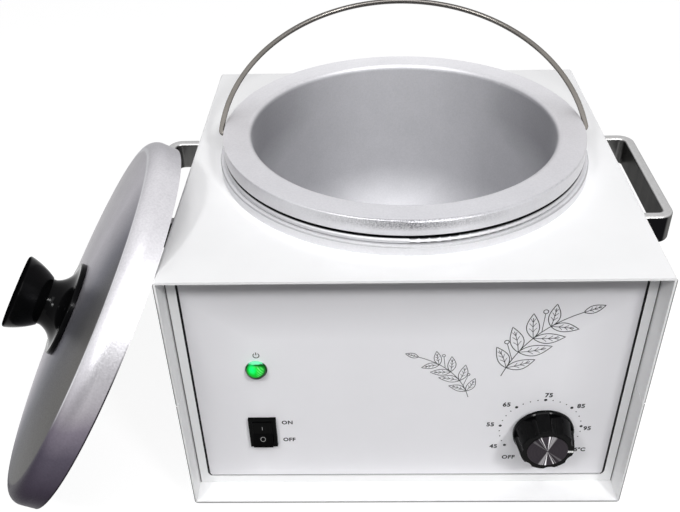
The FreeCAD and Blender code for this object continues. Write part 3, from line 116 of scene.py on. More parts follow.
class Look(Nodes):
    """A procedural material: one Principled shader, and nodes that vary it over the surface."""

    def __init__(self, name, **constants):
        self.material = bpy.data.materials.new(name)
        super().__init__(self.material)
        self.shader = self.tree.nodes["Principled BSDF"]
        for socket, value in constants.items():
            self.shader.inputs[socket.replace("_", " ")].default_value = value
        source = self.tree.nodes.new("ShaderNodeTexCoord")
        self.here, self.facing = source.outputs["Object"], source.outputs["Normal"]
        self.relief = None

    def feed(self, socket, value):
        """Drive one of the shader's sockets with a value."""
        self.tree.links.new(value, self.shader.inputs[socket])
        return self

    def noise(self, scale, detail, stretch=None, at=None):
        """Noise from 0 to 1, with features of about 1 / scale metres."""
        where = at or self.here
        if stretch:
            where = self.vector("MULTIPLY", where, stretch)
        made = self.node("ShaderNodeTexNoise", {"Vector": where, "Scale": scale, "Detail": detail})
        return made.node.outputs["Fac"]

    def shades(self, value, *stops):
        """A colour that depends on a value: stops are (place, (red, green, blue))."""
        result = self.node("ShaderNodeValToRGB", {"Fac": value})
        ramp = result.node.color_ramp
        while len(ramp.elements) < len(stops):
            ramp.elements.new(1.0)
        for element, (place, colour) in zip(ramp.elements, stops):
            element.position = place
            element.color = (*colour, 1)
        return result

    def blend(self, share, first, second):
        """The first colour where the share is 0 and the second where it is 1."""
        made = self.node("ShaderNodeMix", {0: share, 6: first, 7: second}, data_type="RGBA")
        return made.node.outputs[2]

    def own(self):
        """The surface's own colour so far."""
        return self.shader.inputs["Base Color"].links[0].from_socket

    def over(self, share, colour):
        """Lay a colour over the surface's own."""
        return self.feed("Base Color", self.blend(share, self.own(), colour))

    def tint(self, colour):
        """Multiply the surface's own colour by another."""
        made = self.node("ShaderNodeMix", {0: 1.0, 6: self.own(), 7: colour}, data_type="RGBA",
                         blend_type="MULTIPLY")
        return self.feed("Base Color", made.node.outputs[2])

    def mottle(self, scale, detail, low, high):
        """Give the surface a colour that wavers between two."""
        return self.feed("Base Color", self.shades(self.noise(scale, detail), (0.3, low), (0.7, high)))

    def rough(self, value, low, high):
        """Vary the roughness with a value."""
        return self.feed("Roughness", self.span(value, 0.3, 0.7, low, high))

    def bump(self, height, depth):
        """Add relief of a depth in metres."""
        inputs = {"Height": height, "Distance": depth, "Strength": 1.0}
        if self.relief:
            inputs["Normal"] = self.relief
        self.relief = self.node("ShaderNodeBump", inputs)
        return self.feed("Normal", self.relief)

    def along(self, centre, axis):
        """How far the surface lies from a centre in the direction of an axis."""
        return self.vector("DOT_PRODUCT", self.vector("SUBTRACT", self.here, centre), axis, output=1)

    def away(self, centre, axis):
        """How far the surface lies from an axis through a centre."""
        arm = self.vector("SUBTRACT", self.here, centre)
        return self.vector("LENGTH", self.vector("CROSS_PRODUCT", arm, axis), output=1)

    def around(self, centre, axis):
        """Run a turned surface's grooves in circles round an axis, so that light spreads across them."""
        arm = self.vector("SUBTRACT", self.here, centre)
        groove = self.vector("CROSS_PRODUCT", axis, arm)
        across = self.vector("NORMALIZE", self.vector("CROSS_PRODUCT", self.facing, groove))
        across = self.node("ShaderNodeVectorTransform", {0: across}, vector_type="VECTOR",
                           convert_from="OBJECT", convert_to="WORLD")
        return self.feed("Tangent", across)

    def rings(self, centre, axis, scale):
        """Noise that is the same all the way round an axis, as a turning tool leaves it."""
        place = {0: self.away(centre, axis), 1: self.along(centre, axis)}
        return self.noise(scale, 3.0, at=self.node("ShaderNodeCombineXYZ", place))


# ---------------------------------------------------------------- camera, floor and light

VIEW_SPOT = (-0.02170, -0.42721, 0.39293)
VIEW_YAW, VIEW_PITCH, VIEW_ROLL = (math.radians(angle) for angle in (-1.571, 36.764, 1.456))
VIEW_LENS, VIEW_SHIFT = 44.40, (-0.01062, 0.04049)
LAMP_TARGET = Vector((0, 0, 0.1))


def make_camera():
    """The viewpoint: in front of the casing, and high enough to look into the pot."""
    camera = bpy.data.objects.new("camera", bpy.data.cameras.new("camera"))
    bpy.context.scene.collection.objects.link(camera)
    camera.data.sensor_width = 36
    camera.data.lens = VIEW_LENS
    camera.data.shift_x, camera.data.shift_y = VIEW_SHIFT
    camera.data.clip_start, camera.data.clip_end = 0.01, 30
    turn = (Matrix.Rotation(-VIEW_YAW, 4, "Z") @ Matrix.Rotation(math.pi / 2 - VIEW_PITCH, 4, "X")
            @ Matrix.Rotation(-VIEW_ROLL, 4, "Z"))
    camera.matrix_world = Matrix.Translation(VIEW_SPOT) @ turn
    bpy.context.scene.camera = camera


def make_lamp(name, spot, size, power):
    """A soft square lamp that points at the casing."""
    lamp = bpy.data.lights.new(name, "AREA")
    lamp.shape = "SQUARE"
    lamp.size = size
    lamp.energy = power
    holder = bpy.data.objects.new(name, lamp)
    bpy.context.scene.collection.objects.link(holder)
    turn = (LAMP_TARGET - Vector(spot)).to_track_quat("-Z", "Y").to_matrix().to_4x4()
    holder.matrix_world = Matrix.Translation(spot) @ turn


def make_world(light, behind, front):
    """A surround that the camera sees as white. It lights the object weakly, and more strongly from low
    down behind it, so that this light hardly reaches the top. Its reflections dim towards the front."""
    world = bpy.data.worlds.new("studio")
    bpy.context.scene.world = world
    sky = Nodes(world)
    way = sky.node("ShaderNodeTexCoord").node.outputs["Generated"]
    _, rear, up = sky.parts(way)
    rear = sky.span(rear, -0.1, 0.5, 0.0, behind - light)
    level = sky.math("MULTIPLY_ADD", rear, sky.span(up, 0.45, 0.25), light)
    ahead = sky.vector("DOT_PRODUCT", way, (0, -1, 0), output=1)
    level = sky.between(sky.rays("Is Glossy Ray"), level, sky.span(ahead, 0.2, 0.9, 1.0, front))
    level = sky.between(sky.rays("Is Camera Ray", "Is Transmission Ray"), level, 1.0)
    background = sky.tree.nodes["Background"]
    sky.tree.links.new(level, background.inputs["Strength"])
    background.inputs["Color"].default_value = (0.985, 0.98, 1.0, 1)


def make_floor(grey_level, glow):
    """The white table, which keeps the object's shadow."""
    mesh = bpy.data.meshes.new("table")
    form = bmesh.new()
    bmesh.ops.create_grid(form, x_segments=8, y_segments=8, size=3.0)
    form.to_mesh(mesh)
    form.free()
    table = bpy.data.objects.new("table", mesh)
    bpy.context.scene.collection.objects.link(table)
    table.location.z = -0.0002
    look = Look("table_white", Base_Color=(grey_level, grey_level, grey_level, 1), Roughness=0.9,
                Specular_IOR_Level=0.0, Emission_Color=(1, 1, 1, 1))
    seen = look.rays("Is Camera Ray", "Is Glossy Ray", "Is Transmission Ray")
    look.feed("Emission Strength", look.span(seen, 0.0, 1.0, 0.0, glow))
    mesh.materials.append(look.material)


make_camera()
make_floor(0.18, 0.905)
make_world(0.12, 1.0, 0.5)
make_lamp("key_right", (0.80, -1.20, 1.42), 0.26, 14.6)
make_lamp("key_left", (-0.80, -1.20, 1.42), 0.26, 10.0)
make_lamp("overhead", (0.0, -0.90, 1.55), 1.00, 13.4)


# ---------------------------------------------------------------- shared places and colours

# the black of the painted shadows laid in gaps
GAP_SHADOW_BLACK = (0.006, 0.006, 0.007, 1)
# the casing's half width, and a point on the axis that the pot, the well and the collar share
CASING_SIDE = 0.120
POT, UP = (0, 0.0024, 0.12), (0, 0, 1)
# a point on the axis of the leaning lid and of the thermostat's knob, with the way that each axis runs
LID, LID_AXIS = (-0.17213, -0.05770, 0.09118), (-0.84394, -0.09566, 0.52785)
KNOB, KNOB_AXIS = (0.0743, -0.106, 0.0520), (0, 1, 0)
# the middle of the lamp's lens
LAMP = sum(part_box("pilot_lamp_lens"), Vector()) / 2


def extent(node, centre, axis):
    """How far a node's corners lie from a centre in the direction of an axis: the least and the most."""
    along = [(corner.co - Vector(centre)).dot(Vector(axis)) for corner in nodes[node].data.vertices]
    return min(along), max(along)


def grey(level, cool=0.0):
    """A grey with a little blue in it."""
    return (level * (1 - cool), level * (1 - cool / 2), level * (1 + cool))


# ---------------------------------------------------------------- materials

def enamel(name="white_enamel"):
    """Gloss powder coat with faint orange peel."""
    look = Look(name, Coat_Weight=0.25, Coat_Roughness=0.12)
    look.mottle(35, 4, grey(0.855, 0.004), grey(0.88, 0.004))
    look.rough(look.noise(120, 2), 0.29, 0.33)
    return look.bump(look.noise(180, 1), 0.000002)


def painted_edge_shadow(look, foot=None):
    """Paint a fine shadow along the outermost line of the front edges, and along a lower one."""
    across, _, height = look.parts(look.here)
    line = look.span(look.math("ABSOLUTE", across), CASING_SIDE - 0.0006, CASING_SIDE - 0.0002)
    if foot is not None:
        line = look.math("MAXIMUM", line, look.span(height, foot + 0.0008, foot + 0.0005))
    forward = look.span(look.parts(look.facing)[1], -0.2, -0.5)
    return look.over(look.both(line, forward), (0.05, 0.05, 0.05, 1))


def shaded_gap_faces(look, axis):
    """Darken the faces of a thin plate that face along an axis, which line the gap beside it, with
    painted shadow.
    """
    facing = look.math("ABSOLUTE", look.parts(look.facing)[axis])
    return look.over(look.span(facing, 0.4, 0.6), GAP_SHADOW_BLACK)


def gap_shadow_lines(look, reach, soft=0.00008):
    """Deepen the gaps beside a plate with thin lines of painted shadow along its left and right
    borders.
    """
    across = look.math("ABSOLUTE", look.parts(look.here)[0])
    return look.over(look.span(across, reach - soft, reach + soft), GAP_SHADOW_BLACK)


def panel():
    """Satin printed sheet, cooler and greyer than the casing, with painted shade below the hood and at
    its sides, and a fine line of painted shadow along its foot."""
    look = Look("panel_white").mottle(28, 4, (0.875, 0.87, 0.90), (0.895, 0.89, 0.92))
    look.rough(look.noise(400, 2), 0.40, 0.52)
    look.bump(look.noise(1500, 2), 0.000003)
    across, _, height = look.parts(look.here)
    # painted shade, darker up towards the hood and out towards the sides
    shade = look.math("MAXIMUM", look.span(height, 0.118, 0.152, 0.0, 0.34),
                      look.span(look.math("ABSOLUTE", across), 0.080, 0.112, 0.0, 0.25))
    look.over(shade, (0.20, 0.19, 0.20, 1))
    # painted shadow in the gaps beside the panel, on its side faces and along its borders
    gap_shadow_lines(shaded_gap_faces(look, 0), 0.11225)
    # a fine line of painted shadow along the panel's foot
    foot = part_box("front_panel")[0].z
    return look.over(look.span(height, foot + 0.0006, foot + 0.0004), (0.22, 0.22, 0.23, 1))


def satin(name, centre, axis, low, high, roughness, grain=0.000007, stretch=0.35, **constants):
    """Spun aluminium with a fine blasted grain."""
    look = Look(name, Metallic=1.0, Anisotropic=stretch, **constants)
    speck = look.noise(950, 2)
    tone = look.math("ADD", look.math("MULTIPLY", speck, 0.6),
                     look.math("MULTIPLY", look.noise(60, 3), 0.4))
    look.feed("Base Color", look.shades(tone, (0.32, low), (0.68, high)))
    look.rough(look.noise(1300, 2), *roughness)
    look.bump(speck, grain).bump(look.rings(centre, axis, 700), 0.000003)
    return look.around(centre, axis)


def pot():
    """The pot: a satin rim and skirt, with a painted highlight that brightens the rim towards the back
    and a speckled painted dark reflection on the skirt in front, and a duller blasted inside with
    painted shade to the left and right."""
    look = satin("pot_aluminium", POT, UP, (0.76, 0.76, 0.775), (0.84, 0.84, 0.855), (0.40, 0.48))
    x, depth, height = look.parts(look.here)
    across, away = look.math("ABSOLUTE", x), look.away(POT, UP)
    inside = look.both(look.span(away, 0.0870, 0.0845), look.span(height, 0.1828, 0.1812))
    # painted shade on the inside, darker towards its left and right walls
    painted_side_shade = look.both(look.span(across, 0.02, 0.085), look.span(height, 0.105, 0.160))
    cup = look.shades(painted_side_shade, (0.0, (0.69, 0.69, 0.70)), (0.5, (0.65, 0.65, 0.66)),
                      (1.0, (0.40, 0.40, 0.41)))
    # a painted highlight: the rim brightens towards the back
    rim = look.shades(look.span(depth, -0.10, 0.10), (0.0, (0.84, 0.84, 0.85)),
                      (0.45, (0.84, 0.83, 0.83)), (1.0, grey(1.0)))
    # a speckled painted dark reflection on the front of the skirt
    front_dark_reflection = look.both(look.span(across, 0.055, 0.0), look.span(depth, -0.060, -0.090),
                      look.span(height, 0.1768, 0.1795), look.span(away, 0.0990, 0.0998),
                      look.span(look.noise(1300, 2), 0.35, 0.65, 0.35, 1.0))
    rim = look.blend(front_dark_reflection, rim, (0.22, 0.22, 0.23, 1))
    look.tint(look.blend(inside, rim, cup))
    return look.feed("Roughness", look.between(inside, 0.44, 0.70))


def lid():
    """The lid: a blasted dome inside a turned edge, both darker towards the foot, in painted reflection
    and
    shade: the dome dark and lighter towards the back, the edge brightest part way up. A painted
    highlight runs along the upper part of the corner between them, and a line of painted shadow along
    the lower half of its open edge."""
    look = satin("lid_aluminium", LID, LID_AXIS, (0.80, 0.80, 0.82), (0.96, 0.96, 0.98),
                 (0.32, 0.44), 0.00001, Specular_Tint=(0.45, 0.45, 0.46, 1))
    along, away = look.along(LID, LID_AXIS), look.away(LID, LID_AXIS)
    _, y, z = look.parts(look.here)
    height, back = look.span(z, 0.05, 0.20), look.span(y, -0.17, 0.05)
    # painted reflection and shade on the turned edge: darkest at the foot, brightest part way up
    edge = look.shades(height, (0.08, (0.055, 0.045, 0.06)), (0.30, (0.105, 0.092, 0.12)),
                       (0.40, (0.225, 0.20, 0.24)), (0.46, (0.43, 0.405, 0.43)),
                       (0.53, (0.66, 0.64, 0.66)), (0.62, (0.92, 0.91, 0.92)),
                       (1.0, (0.80, 0.79, 0.79)))
    # painted reflection and shade on the dome: dark, and lighter towards the back
    dome = look.shades(back, (0.14, (0.20, 0.195, 0.18)), (0.27, (0.175, 0.175, 0.18)),
                       (0.34, (0.25, 0.25, 0.275)), (0.53, (0.76, 0.74, 0.76)),
                       (0.90, (0.80, 0.785, 0.78)))
    low = extent("lid_shell", LID, LID_AXIS)[0]
    # a line of painted shadow along the lower half of the open edge
    lip = look.both(look.span(along, low + 0.0009, low + 0.0005), look.span(height, 0.66, 0.52))
    edge = look.blend(lip, edge, (0.03, 0.025, 0.03, 1))
    face = look.both(look.span(away, 0.0990, 0.0975), look.span(along, 0.012, 0.0130))
    # a painted highlight: on the upper part of the corner the satin keeps its own colour
    corner = look.both(look.span(away, 0.0982, 0.0990), look.span(away, 0.1012, 0.1002),
                       look.span(height, 0.38, 0.50))
    return look.tint(look.blend(corner, look.blend(face, edge, dome), (1, 1, 1, 1)))


def collar():
    """The collar: the pot's aluminium, with painted shade on its rounded edge."""
    look = satin("collar_aluminium", POT, UP, (0.72, 0.72, 0.735), (0.77, 0.77, 0.785),
                 (0.68, 0.74), 0.0000003, 0.0)
    # painted shade by the way the surface faces: darker on the rounded edge between side and top
    upward = look.parts(look.facing)[2]
    return look.tint(look.shades(upward, (0.05, grey(1.0)), (0.25, grey(0.66)), (0.80, grey(0.60)),
                                 (0.97, grey(0.94))))


def well():
    """The well: the collar's aluminium, with a painted shadow in the gap where the pot's skirt meets the
    bead.
    """
    look = satin("well_aluminium", POT, UP, (0.70, 0.70, 0.715), (0.76, 0.76, 0.775),
                 (0.60, 0.66), 0.0000003, 0.0)
    look.tint((0.84, 0.84, 0.84, 1))
    away = look.away(POT, UP)
    # a painted shadow on the bead, in the gap under the pot's skirt
    skirt_gap_shadow = look.both(look.span(away, 0.1005, 0.0999), look.span(away, 0.0955, 0.0960))
    return look.over(skirt_gap_shadow, GAP_SHADOW_BLACK)


def handle_metal():
    """Cast handles with painted highlights and dark reflections: bright edges where they face up or
    down, a dark grey inside and a black outside.
    """
    look = Look("handle_metal", Metallic=1.0, Specular_Tint=(0.5, 0.5, 0.5, 1))
    x, y, _ = look.parts(look.here)
    # how far the surface lies beyond the inner face of the grip, and of its two arms
    beyond = [look.math("SUBTRACT", look.math("ABSOLUTE", part), inner)
              for part, inner in ((x, 0.1412), (y, 0.0452))]
    outside = look.span(look.math("MAXIMUM", *beyond), 0.0012, 0.0019)
    # painted dark reflection: streaked dark grey inside, and black outside beyond the grip's inner faces
    streaks = look.noise(160, 3, stretch=(1, 1, 0.10))
    inner = look.shades(streaks, (0.2, grey(0.11)), (0.8, (0.18, 0.178, 0.172)))
    rim = look.shades(look.noise(900, 2), (0.3, (0.54, 0.54, 0.53)), (0.7, (0.62, 0.62, 0.61)))
    # a painted highlight on the edges that face up or down
    edge = look.span(look.math("ABSOLUTE", look.parts(look.facing)[2]), 0.30, 0.80)
    look.feed("Base Color", look.blend(edge, look.blend(outside, inner, (0.007, 0.007, 0.008, 1)), rim))
    look.rough(look.noise(500, 3), 0.30, 0.36)
    return look.bump(look.noise(1200, 2), 0.000001)


def wire_steel():
    """Drawn stainless wire, a little warm, with painted shade that darkens it towards the crest of its
    arch.
    """
    look = Look("bail_wire", Metallic=1.0, Specular_Tint=(0.35, 0.35, 0.35, 1))
    look.mottle(60, 3, (0.30, 0.283, 0.255), (0.36, 0.340, 0.312))
    low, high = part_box("bail_handle")
    height = look.span(look.parts(look.here)[2], low.z, high.z)
    # painted shade: darker towards the crest
    look.tint(look.shades(height, (0.0, grey(1.0)), (0.55, grey(0.72)), (0.95, (0.42, 0.42, 0.43))))
    return look.rough(look.noise(90, 2), 0.24, 0.28)


def plastic(name, level, gloss, grain, depth, shine):
    """Moulded plastic in a dark shade."""
    look = Look(name, Specular_IOR_Level=shine)
    look.mottle(120, 3, grey(level, 0.05), grey(level * 1.5, 0.05))
    look.rough(look.noise(grain, 3), *gloss)
    return look.bump(look.noise(grain * 2, 2), depth)


def gloss_black(name):
    """The gloss black of both knobs."""
    return plastic(name, 0.002, (0.09, 0.15), 500, 0.000001, 0.06)


def lid_black():
    """The lid's knob: gloss black with a dull flat top."""
    look = gloss_black("lid_knob_black")
    top = extent("lid_knob", LID, LID_AXIS)[1]
    return look.feed("Specular IOR Level",
                     look.span(look.along(LID, LID_AXIS), top - 0.0016, top - 0.0008, 0.06, 0.0))


def turned_cap():
    """The knob's cap, faced on a lathe, which spreads light across its rings, with painted highlights in
    bright rays from its middle.
    """
    look = Look("knob_metal", Metallic=1.0, Anisotropic=0.95, Specular_Tint=(0.6, 0.6, 0.6, 1))
    arm = look.vector("SUBTRACT", look.here, KNOB)
    away = look.away(KNOB, KNOB_AXIS)
    rings = look.noise(2600, 3, at=look.node("ShaderNodeCombineXYZ", {0: away}))
    dark = look.shades(rings, (0.3, (0.036, 0.031, 0.037)), (0.7, (0.058, 0.050, 0.058)))
    total = 0.0
    # each painted ray's turn from upright in degrees, its width as a share of its length, and its
    # strength
    for turn, width, share in ((0, 0.055, 1.0), (16, 0.13, 0.35), (-24, 0.035, 0.8), (-31, 0.03, 0.3),
                               (-47, 0.10, 0.12), (8, 0.05, 0.3)):
        angle = math.radians(turn)
        off = look.vector("DOT_PRODUCT", arm, (math.cos(angle), 0, -math.sin(angle)), output=1)
        off = look.math("DIVIDE", look.math("ABSOLUTE", off), away)
        total = look.math("ADD", total, look.span(off, width, width * 0.3, 0.0, share))
    painted_rays = look.math("MULTIPLY", total, look.span(rings, 0.2, 0.8, 0.8, 1.1))
    look.feed("Base Color", look.blend(look.math("MINIMUM", painted_rays, 1.0), dark, (0.95, 0.93, 0.95, 1)))
    look.rough(look.noise(1500, 2), 0.44, 0.50)
    return look.bump(rings, 0.000004).around(KNOB, KNOB_AXIS)


def plain(name, low, high, gloss, scale=300, metallic=0.0, depth=0.00001):
    """A plain material with a mottled colour, for the small and the inner pieces."""
    look = Look(name, Metallic=metallic).mottle(scale, 3, low, high)
    look.rough(look.noise(scale * 2, 2), *gloss)
    return look.bump(look.noise(scale * 4, 2), depth)


def zinc(name="zinc_sheet"):
    """Galvanised sheet with its spangle."""
    look = Look(name, Metallic=1.0)
    cells = look.node("ShaderNodeTexVoronoi", {"Vector": look.here, "Scale": 160.0}).node
    tone = look.vector("DOT_PRODUCT", cells.outputs["Color"], (0.4, 0.3, 0.3), output=1)
    look.feed("Base Color", look.shades(tone, (0.2, grey(0.42, 0.02)), (0.8, grey(0.62, 0.02))))
    return look.rough(tone, 0.30, 0.50)


def fibre():
    """Woven glass fibre."""
    look = Look("jacket_fibre", Sheen_Weight=0.2)
    threads = {"Vector": look.here, "Scale": 220.0, "Distortion": 0.6, "Detail": 1.0}
    across, upward = (look.node("ShaderNodeTexWave", threads, bands_direction=way).node.outputs["Fac"]
                      for way in "XZ")
    weave = look.math("MULTIPLY", across, upward)
    look.feed("Base Color", look.shades(weave, (0.0, (0.60, 0.57, 0.49)), (0.8, (0.82, 0.80, 0.73))))
    look.rough(weave, 0.8, 0.95)
    return look.bump(weave, 0.0003)


def lens_green():
    """Lit green plastic: bright left of the middle, ribbed on the right, dark at the edge, and pale at
    its crown with a painted reflection."""
    look = Look("lamp_green", Specular_IOR_Level=0.1, Emission_Strength=0.25)
    arm = look.vector("SUBTRACT", look.here, LAMP)
    across, _, height = look.parts(arm)
    # an oval above the middle, where the lens bulges towards the light; glow and painted light peak
    # there
    oval = look.vector("MULTIPLY", look.vector("SUBTRACT", arm, (0, 0, 0.00165)),
                       (1 / 0.00485, 0, 1 / 0.0032))
    away = look.vector("LENGTH", oval, output=1)
    body = look.shades(look.span(away, 0.0, 1.6), (0.36, (0.0, 0.56, 0.025)), (0.54, (0.0, 0.36, 0.015)),
                       (0.63, (0.0, 0.07, 0.005)), (0.80, (0.0, 0.02, 0.002)))
    turned = look.node("ShaderNodeVectorRotate", {"Vector": look.here, "Angle": math.radians(40)},
                       rotation_type="Y_AXIS")
    ribs = look.node("ShaderNodeTexWave", {"Vector": turned, "Scale": 330.0}, bands_direction="X")
    ribs = ribs.node.outputs["Fac"]
    hatch = look.both(ribs, look.span(across, 0.0004, 0.0016), look.span(away, 0.95, 0.75))
    body = look.blend(look.math("MULTIPLY", hatch, 0.5), body, (0.20, 0.80, 0.25, 1))
    spot = look.vector("MULTIPLY", look.vector("SUBTRACT", arm, (-0.0016, 0, 0.0030)), (1, 0, 1))
    hot = look.span(look.vector("LENGTH", spot, output=1), 0.0026, 0.0)
    body = look.blend(hot, body, (0.01, 1.0, 0.20, 1))
    # a painted reflection, pale, on the crown of the lens
    crown = look.both(look.span(height, 0.0040, 0.0049), look.span(away, 1.05, 1.09))
    body = look.blend(look.math("MULTIPLY", crown, 0.9), body, (0.18, 0.78, 0.42, 1))
    look.feed("Base Color", body).feed("Emission Color", body)
    look.rough(look.noise(900, 2), 0.10, 0.18)
    return look.bump(ribs, 0.000002)


looks = {
    "white_enamel": enamel(),
    "panel_white": panel(),
    "handle_metal": handle_metal(),
    "bail_wire": wire_steel(),
    "black_plastic": gloss_black("black_plastic"),
    "knob_metal": turned_cap(),
    "pointer_white": plain("pointer_white", (0.82, 0.82, 0.81), (0.90, 0.90, 0.89), (0.4, 0.5)),
    "lamp_green": lens_green(),
    "black_switch": plastic("black_switch", 0.0015, (0.30, 0.40), 900, 0.000002, 0.03),
    "foot_rubber": plain("foot_rubber", grey(0.018), grey(0.035), (0.75, 0.9), 500, 0.0, 0.00003),
    "fastener_steel": plain("fastener_steel", grey(0.50), (0.68, 0.68, 0.67), (0.22, 0.36), 600, 1.0),
    "zinc_sheet": zinc(),
    "terminal_brass": plain("terminal_brass", (0.62, 0.46, 0.20), (0.80, 0.62, 0.32), (0.25, 0.4),
                            500, 1.0),
    "copper_tube": plain("copper_tube", (0.62, 0.32, 0.20), (0.82, 0.46, 0.30), (0.22, 0.36),
                         500, 1.0),
    "heater_steel": plain("heater_steel", (0.34, 0.31, 0.27), (0.56, 0.54, 0.51), (0.3, 0.5),
                          60, 1.0),
    "jacket_fibre": fibre(),
    "block_ceramic": plain("block_ceramic", (0.76, 0.74, 0.68), (0.86, 0.85, 0.80), (0.45, 0.65),
                           900, 0.0, 0.00003),
    "fuse_white": plain("fuse_white", (0.70, 0.70, 0.66), (0.82, 0.82, 0.79), (0.5, 0.65)),
    "wire_red": plain("wire_red", (0.38, 0.02, 0.015), (0.50, 0.04, 0.03), (0.38, 0.5)),
    "wire_blue": plain("wire_blue", (0.02, 0.06, 0.30), (0.04, 0.10, 0.42), (0.38, 0.5)),
    "wire_green": plain("wire_green", (0.04, 0.25, 0.03), (0.08, 0.34, 0.06), (0.38, 0.5)),
}
own_look = {
    # painted shadow along the casing's front edges and the tray's foot
    "top_cover": painted_edge_shadow(enamel("cover_enamel")),
    "base_tray": painted_edge_shadow(enamel("tray_enamel"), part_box("base_tray")[0].z),
    # painted shadow in the gaps beside the panel, on the frame's and the bulkhead's edges
    "front_frame": gap_shadow_lines(shaded_gap_faces(enamel("frame_enamel"), 0), 0.11812, 0.00020),
    "front_bulkhead": shaded_gap_faces(zinc("bulkhead_zinc"), 1),
    "wax_pot": pot(),
    "heater_well": well(),
    "trim_ring": collar(),
    "lid_shell": lid(),
    "lid_knob": lid_black(),
}
slot_of = {part["node"]: part["material_slot"] for part in frame["record"]["subparts"]}
for name, thing in nodes.items():
    look = own_look.get(name) or looks[slot_of[name]]
    for holder in thing.material_slots:
        holder.material = look.material


# ---------------------------------------------------------------- pieces

def piece(name, form, body, look, smooth=False):
    """Turn a bmesh into a piece that rides on a body."""
    mesh = bpy.data.meshes.new(name)
    bmesh.ops.recalc_face_normals(form, faces=form.faces)
    form.to_mesh(mesh)
    form.free()
    for face in mesh.polygons:
        face.use_smooth = smooth
    mesh.materials.append(look.material)
    thing = bpy.data.objects.new(name, mesh)
    bpy.context.scene.collection.objects.link(thing)
    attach(thing, body)
    return thing


def circle(form, middle, first, second, radius, steps):
    """A ring of corners in the plane of two directions."""
    turns = [2 * math.pi * step / steps for step in range(steps)]
    return [form.verts.new(middle + (first * math.cos(turn) + second * math.sin(turn)) * radius)
            for turn in turns]


def skin(form, rows):
    """Faces between rings of corners."""
    for near, far in zip(rows, rows[1:]):
        for index in range(len(near)):
            after = (index + 1) % len(near)
            form.faces.new((near[index], near[after], far[after], far[index]))


# ---------------------------------------------------------------- print

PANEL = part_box("front_panel")[0].y
PRINT = 0.00004
FONT_SIZE = 1.38  # of a letter whose height is 1


def on_panel(x, z):
    """A point of the print, given in millimetres from the casing's middle and from the table."""
    return Vector((x * MM, PANEL - PRINT, z * MM))


def ribbon(form, points, width, closed=False, plane=on_panel):
    """A flat line through points of a plane."""
    points = [Vector(point) for point in points]
    if closed:
        points.append(points[0])
    count = len(points)
    pairs = []
    for index, point in enumerate(points):
        before = points[index - 1] if index else (points[-2] if closed else point)
        after = points[index + 1] if index + 1 < count else (points[1] if closed else point)
        along = (after - before).normalized()
        side = Vector((-along.y, along.x)) * width / 2
        pairs.append((form.verts.new(plane(*(point + side))), form.verts.new(plane(*(point - side)))))
    for (a, b), (c, d) in zip(pairs, pairs[1:]):
        form.faces.new((a, b, d, c))


def loop(x, z, radius, steps=28):
    """The points of a circle."""
    return [(x + radius * math.cos(2 * math.pi * step / steps),
             z + radius * math.sin(2 * math.pi * step / steps)) for step in range(steps)]


def dot(form, x, z, radius, steps):
    """A round spot on the panel."""
    form.faces.new([form.verts.new(on_panel(*point)) for point in loop(x, z, radius, steps)])


def letters(form, text, x, z, height, spacing, weight):
    """Plain digits or letters, centred on a point, and thickened by a weight in millimetres."""
    curve = bpy.data.curves.new("label", "FONT")
    curve.body = text
    curve.size = height * FONT_SIZE
    curve.offset = weight
    curve.space_character = spacing
    curve.align_x = "CENTER"
    curve.resolution_u = 5
    holder = bpy.data.objects.new("label", curve)
    bpy.context.scene.collection.objects.link(holder)
    bpy.context.view_layer.update()
    flat = bpy.data.meshes.new_from_object(holder)
    tops = [vert.co.y for vert in flat.vertices]
    middle = (min(tops) + max(tops)) / 2
    for vert in flat.vertices:
        vert.co = on_panel(x + vert.co.x, z + vert.co.y - middle)
    form.from_mesh(flat)
    bpy.data.objects.remove(holder)
    bpy.data.curves.remove(curve)
    bpy.data.meshes.remove(flat)


def bezier(start, pull, push, end):
    """The points of a cubic curve."""
    start, pull, push, end = (Vector(point) for point in (start, pull, push, end))
    steps, points = 60, []
    for step in range(steps + 1):
        t = step / steps
        u = 1 - t
        points.append(start * u ** 3 + pull * 3 * u * u * t + push * 3 * u * t * t + end * t ** 3)
    return points


def leaf(form, root, heading, length, width, line, seed):
    """A leaf in outline, with a midrib and a few side veins."""
    chance = random.Random(seed)
    along = Vector((math.cos(heading), math.sin(heading)))
    across = Vector((-along.y, along.x))
    root = Vector(root)
    sag = chance.uniform(-0.07, 0.07) * length

    def spot(t, side):
        """A point of the leaf, from its root to its tip and from one edge to the other."""
        swell = math.sin(math.pi * t ** 0.85) * width / 2
        return root + along * length * t + across * (sag * math.sin(math.pi * t) + side * swell)

    steps = 22
    edge = [spot(step / steps, 1) for step in range(steps + 1)]
    edge += [spot(1 - step / steps, -1) for step in range(1, steps)]
    ribbon(form, edge, line, True)
    ribbon(form, [spot(0.02 + 0.80 * step / 10, 0) for step in range(11)], line * 0.8)
    for start in (0.26, 0.46, 0.64):
        for side in (-1, 1):
            ribbon(form, [spot(start, 0), spot(start + 0.09, side * 0.30),
                          spot(start + 0.15, side * 0.62)], line * 0.6)


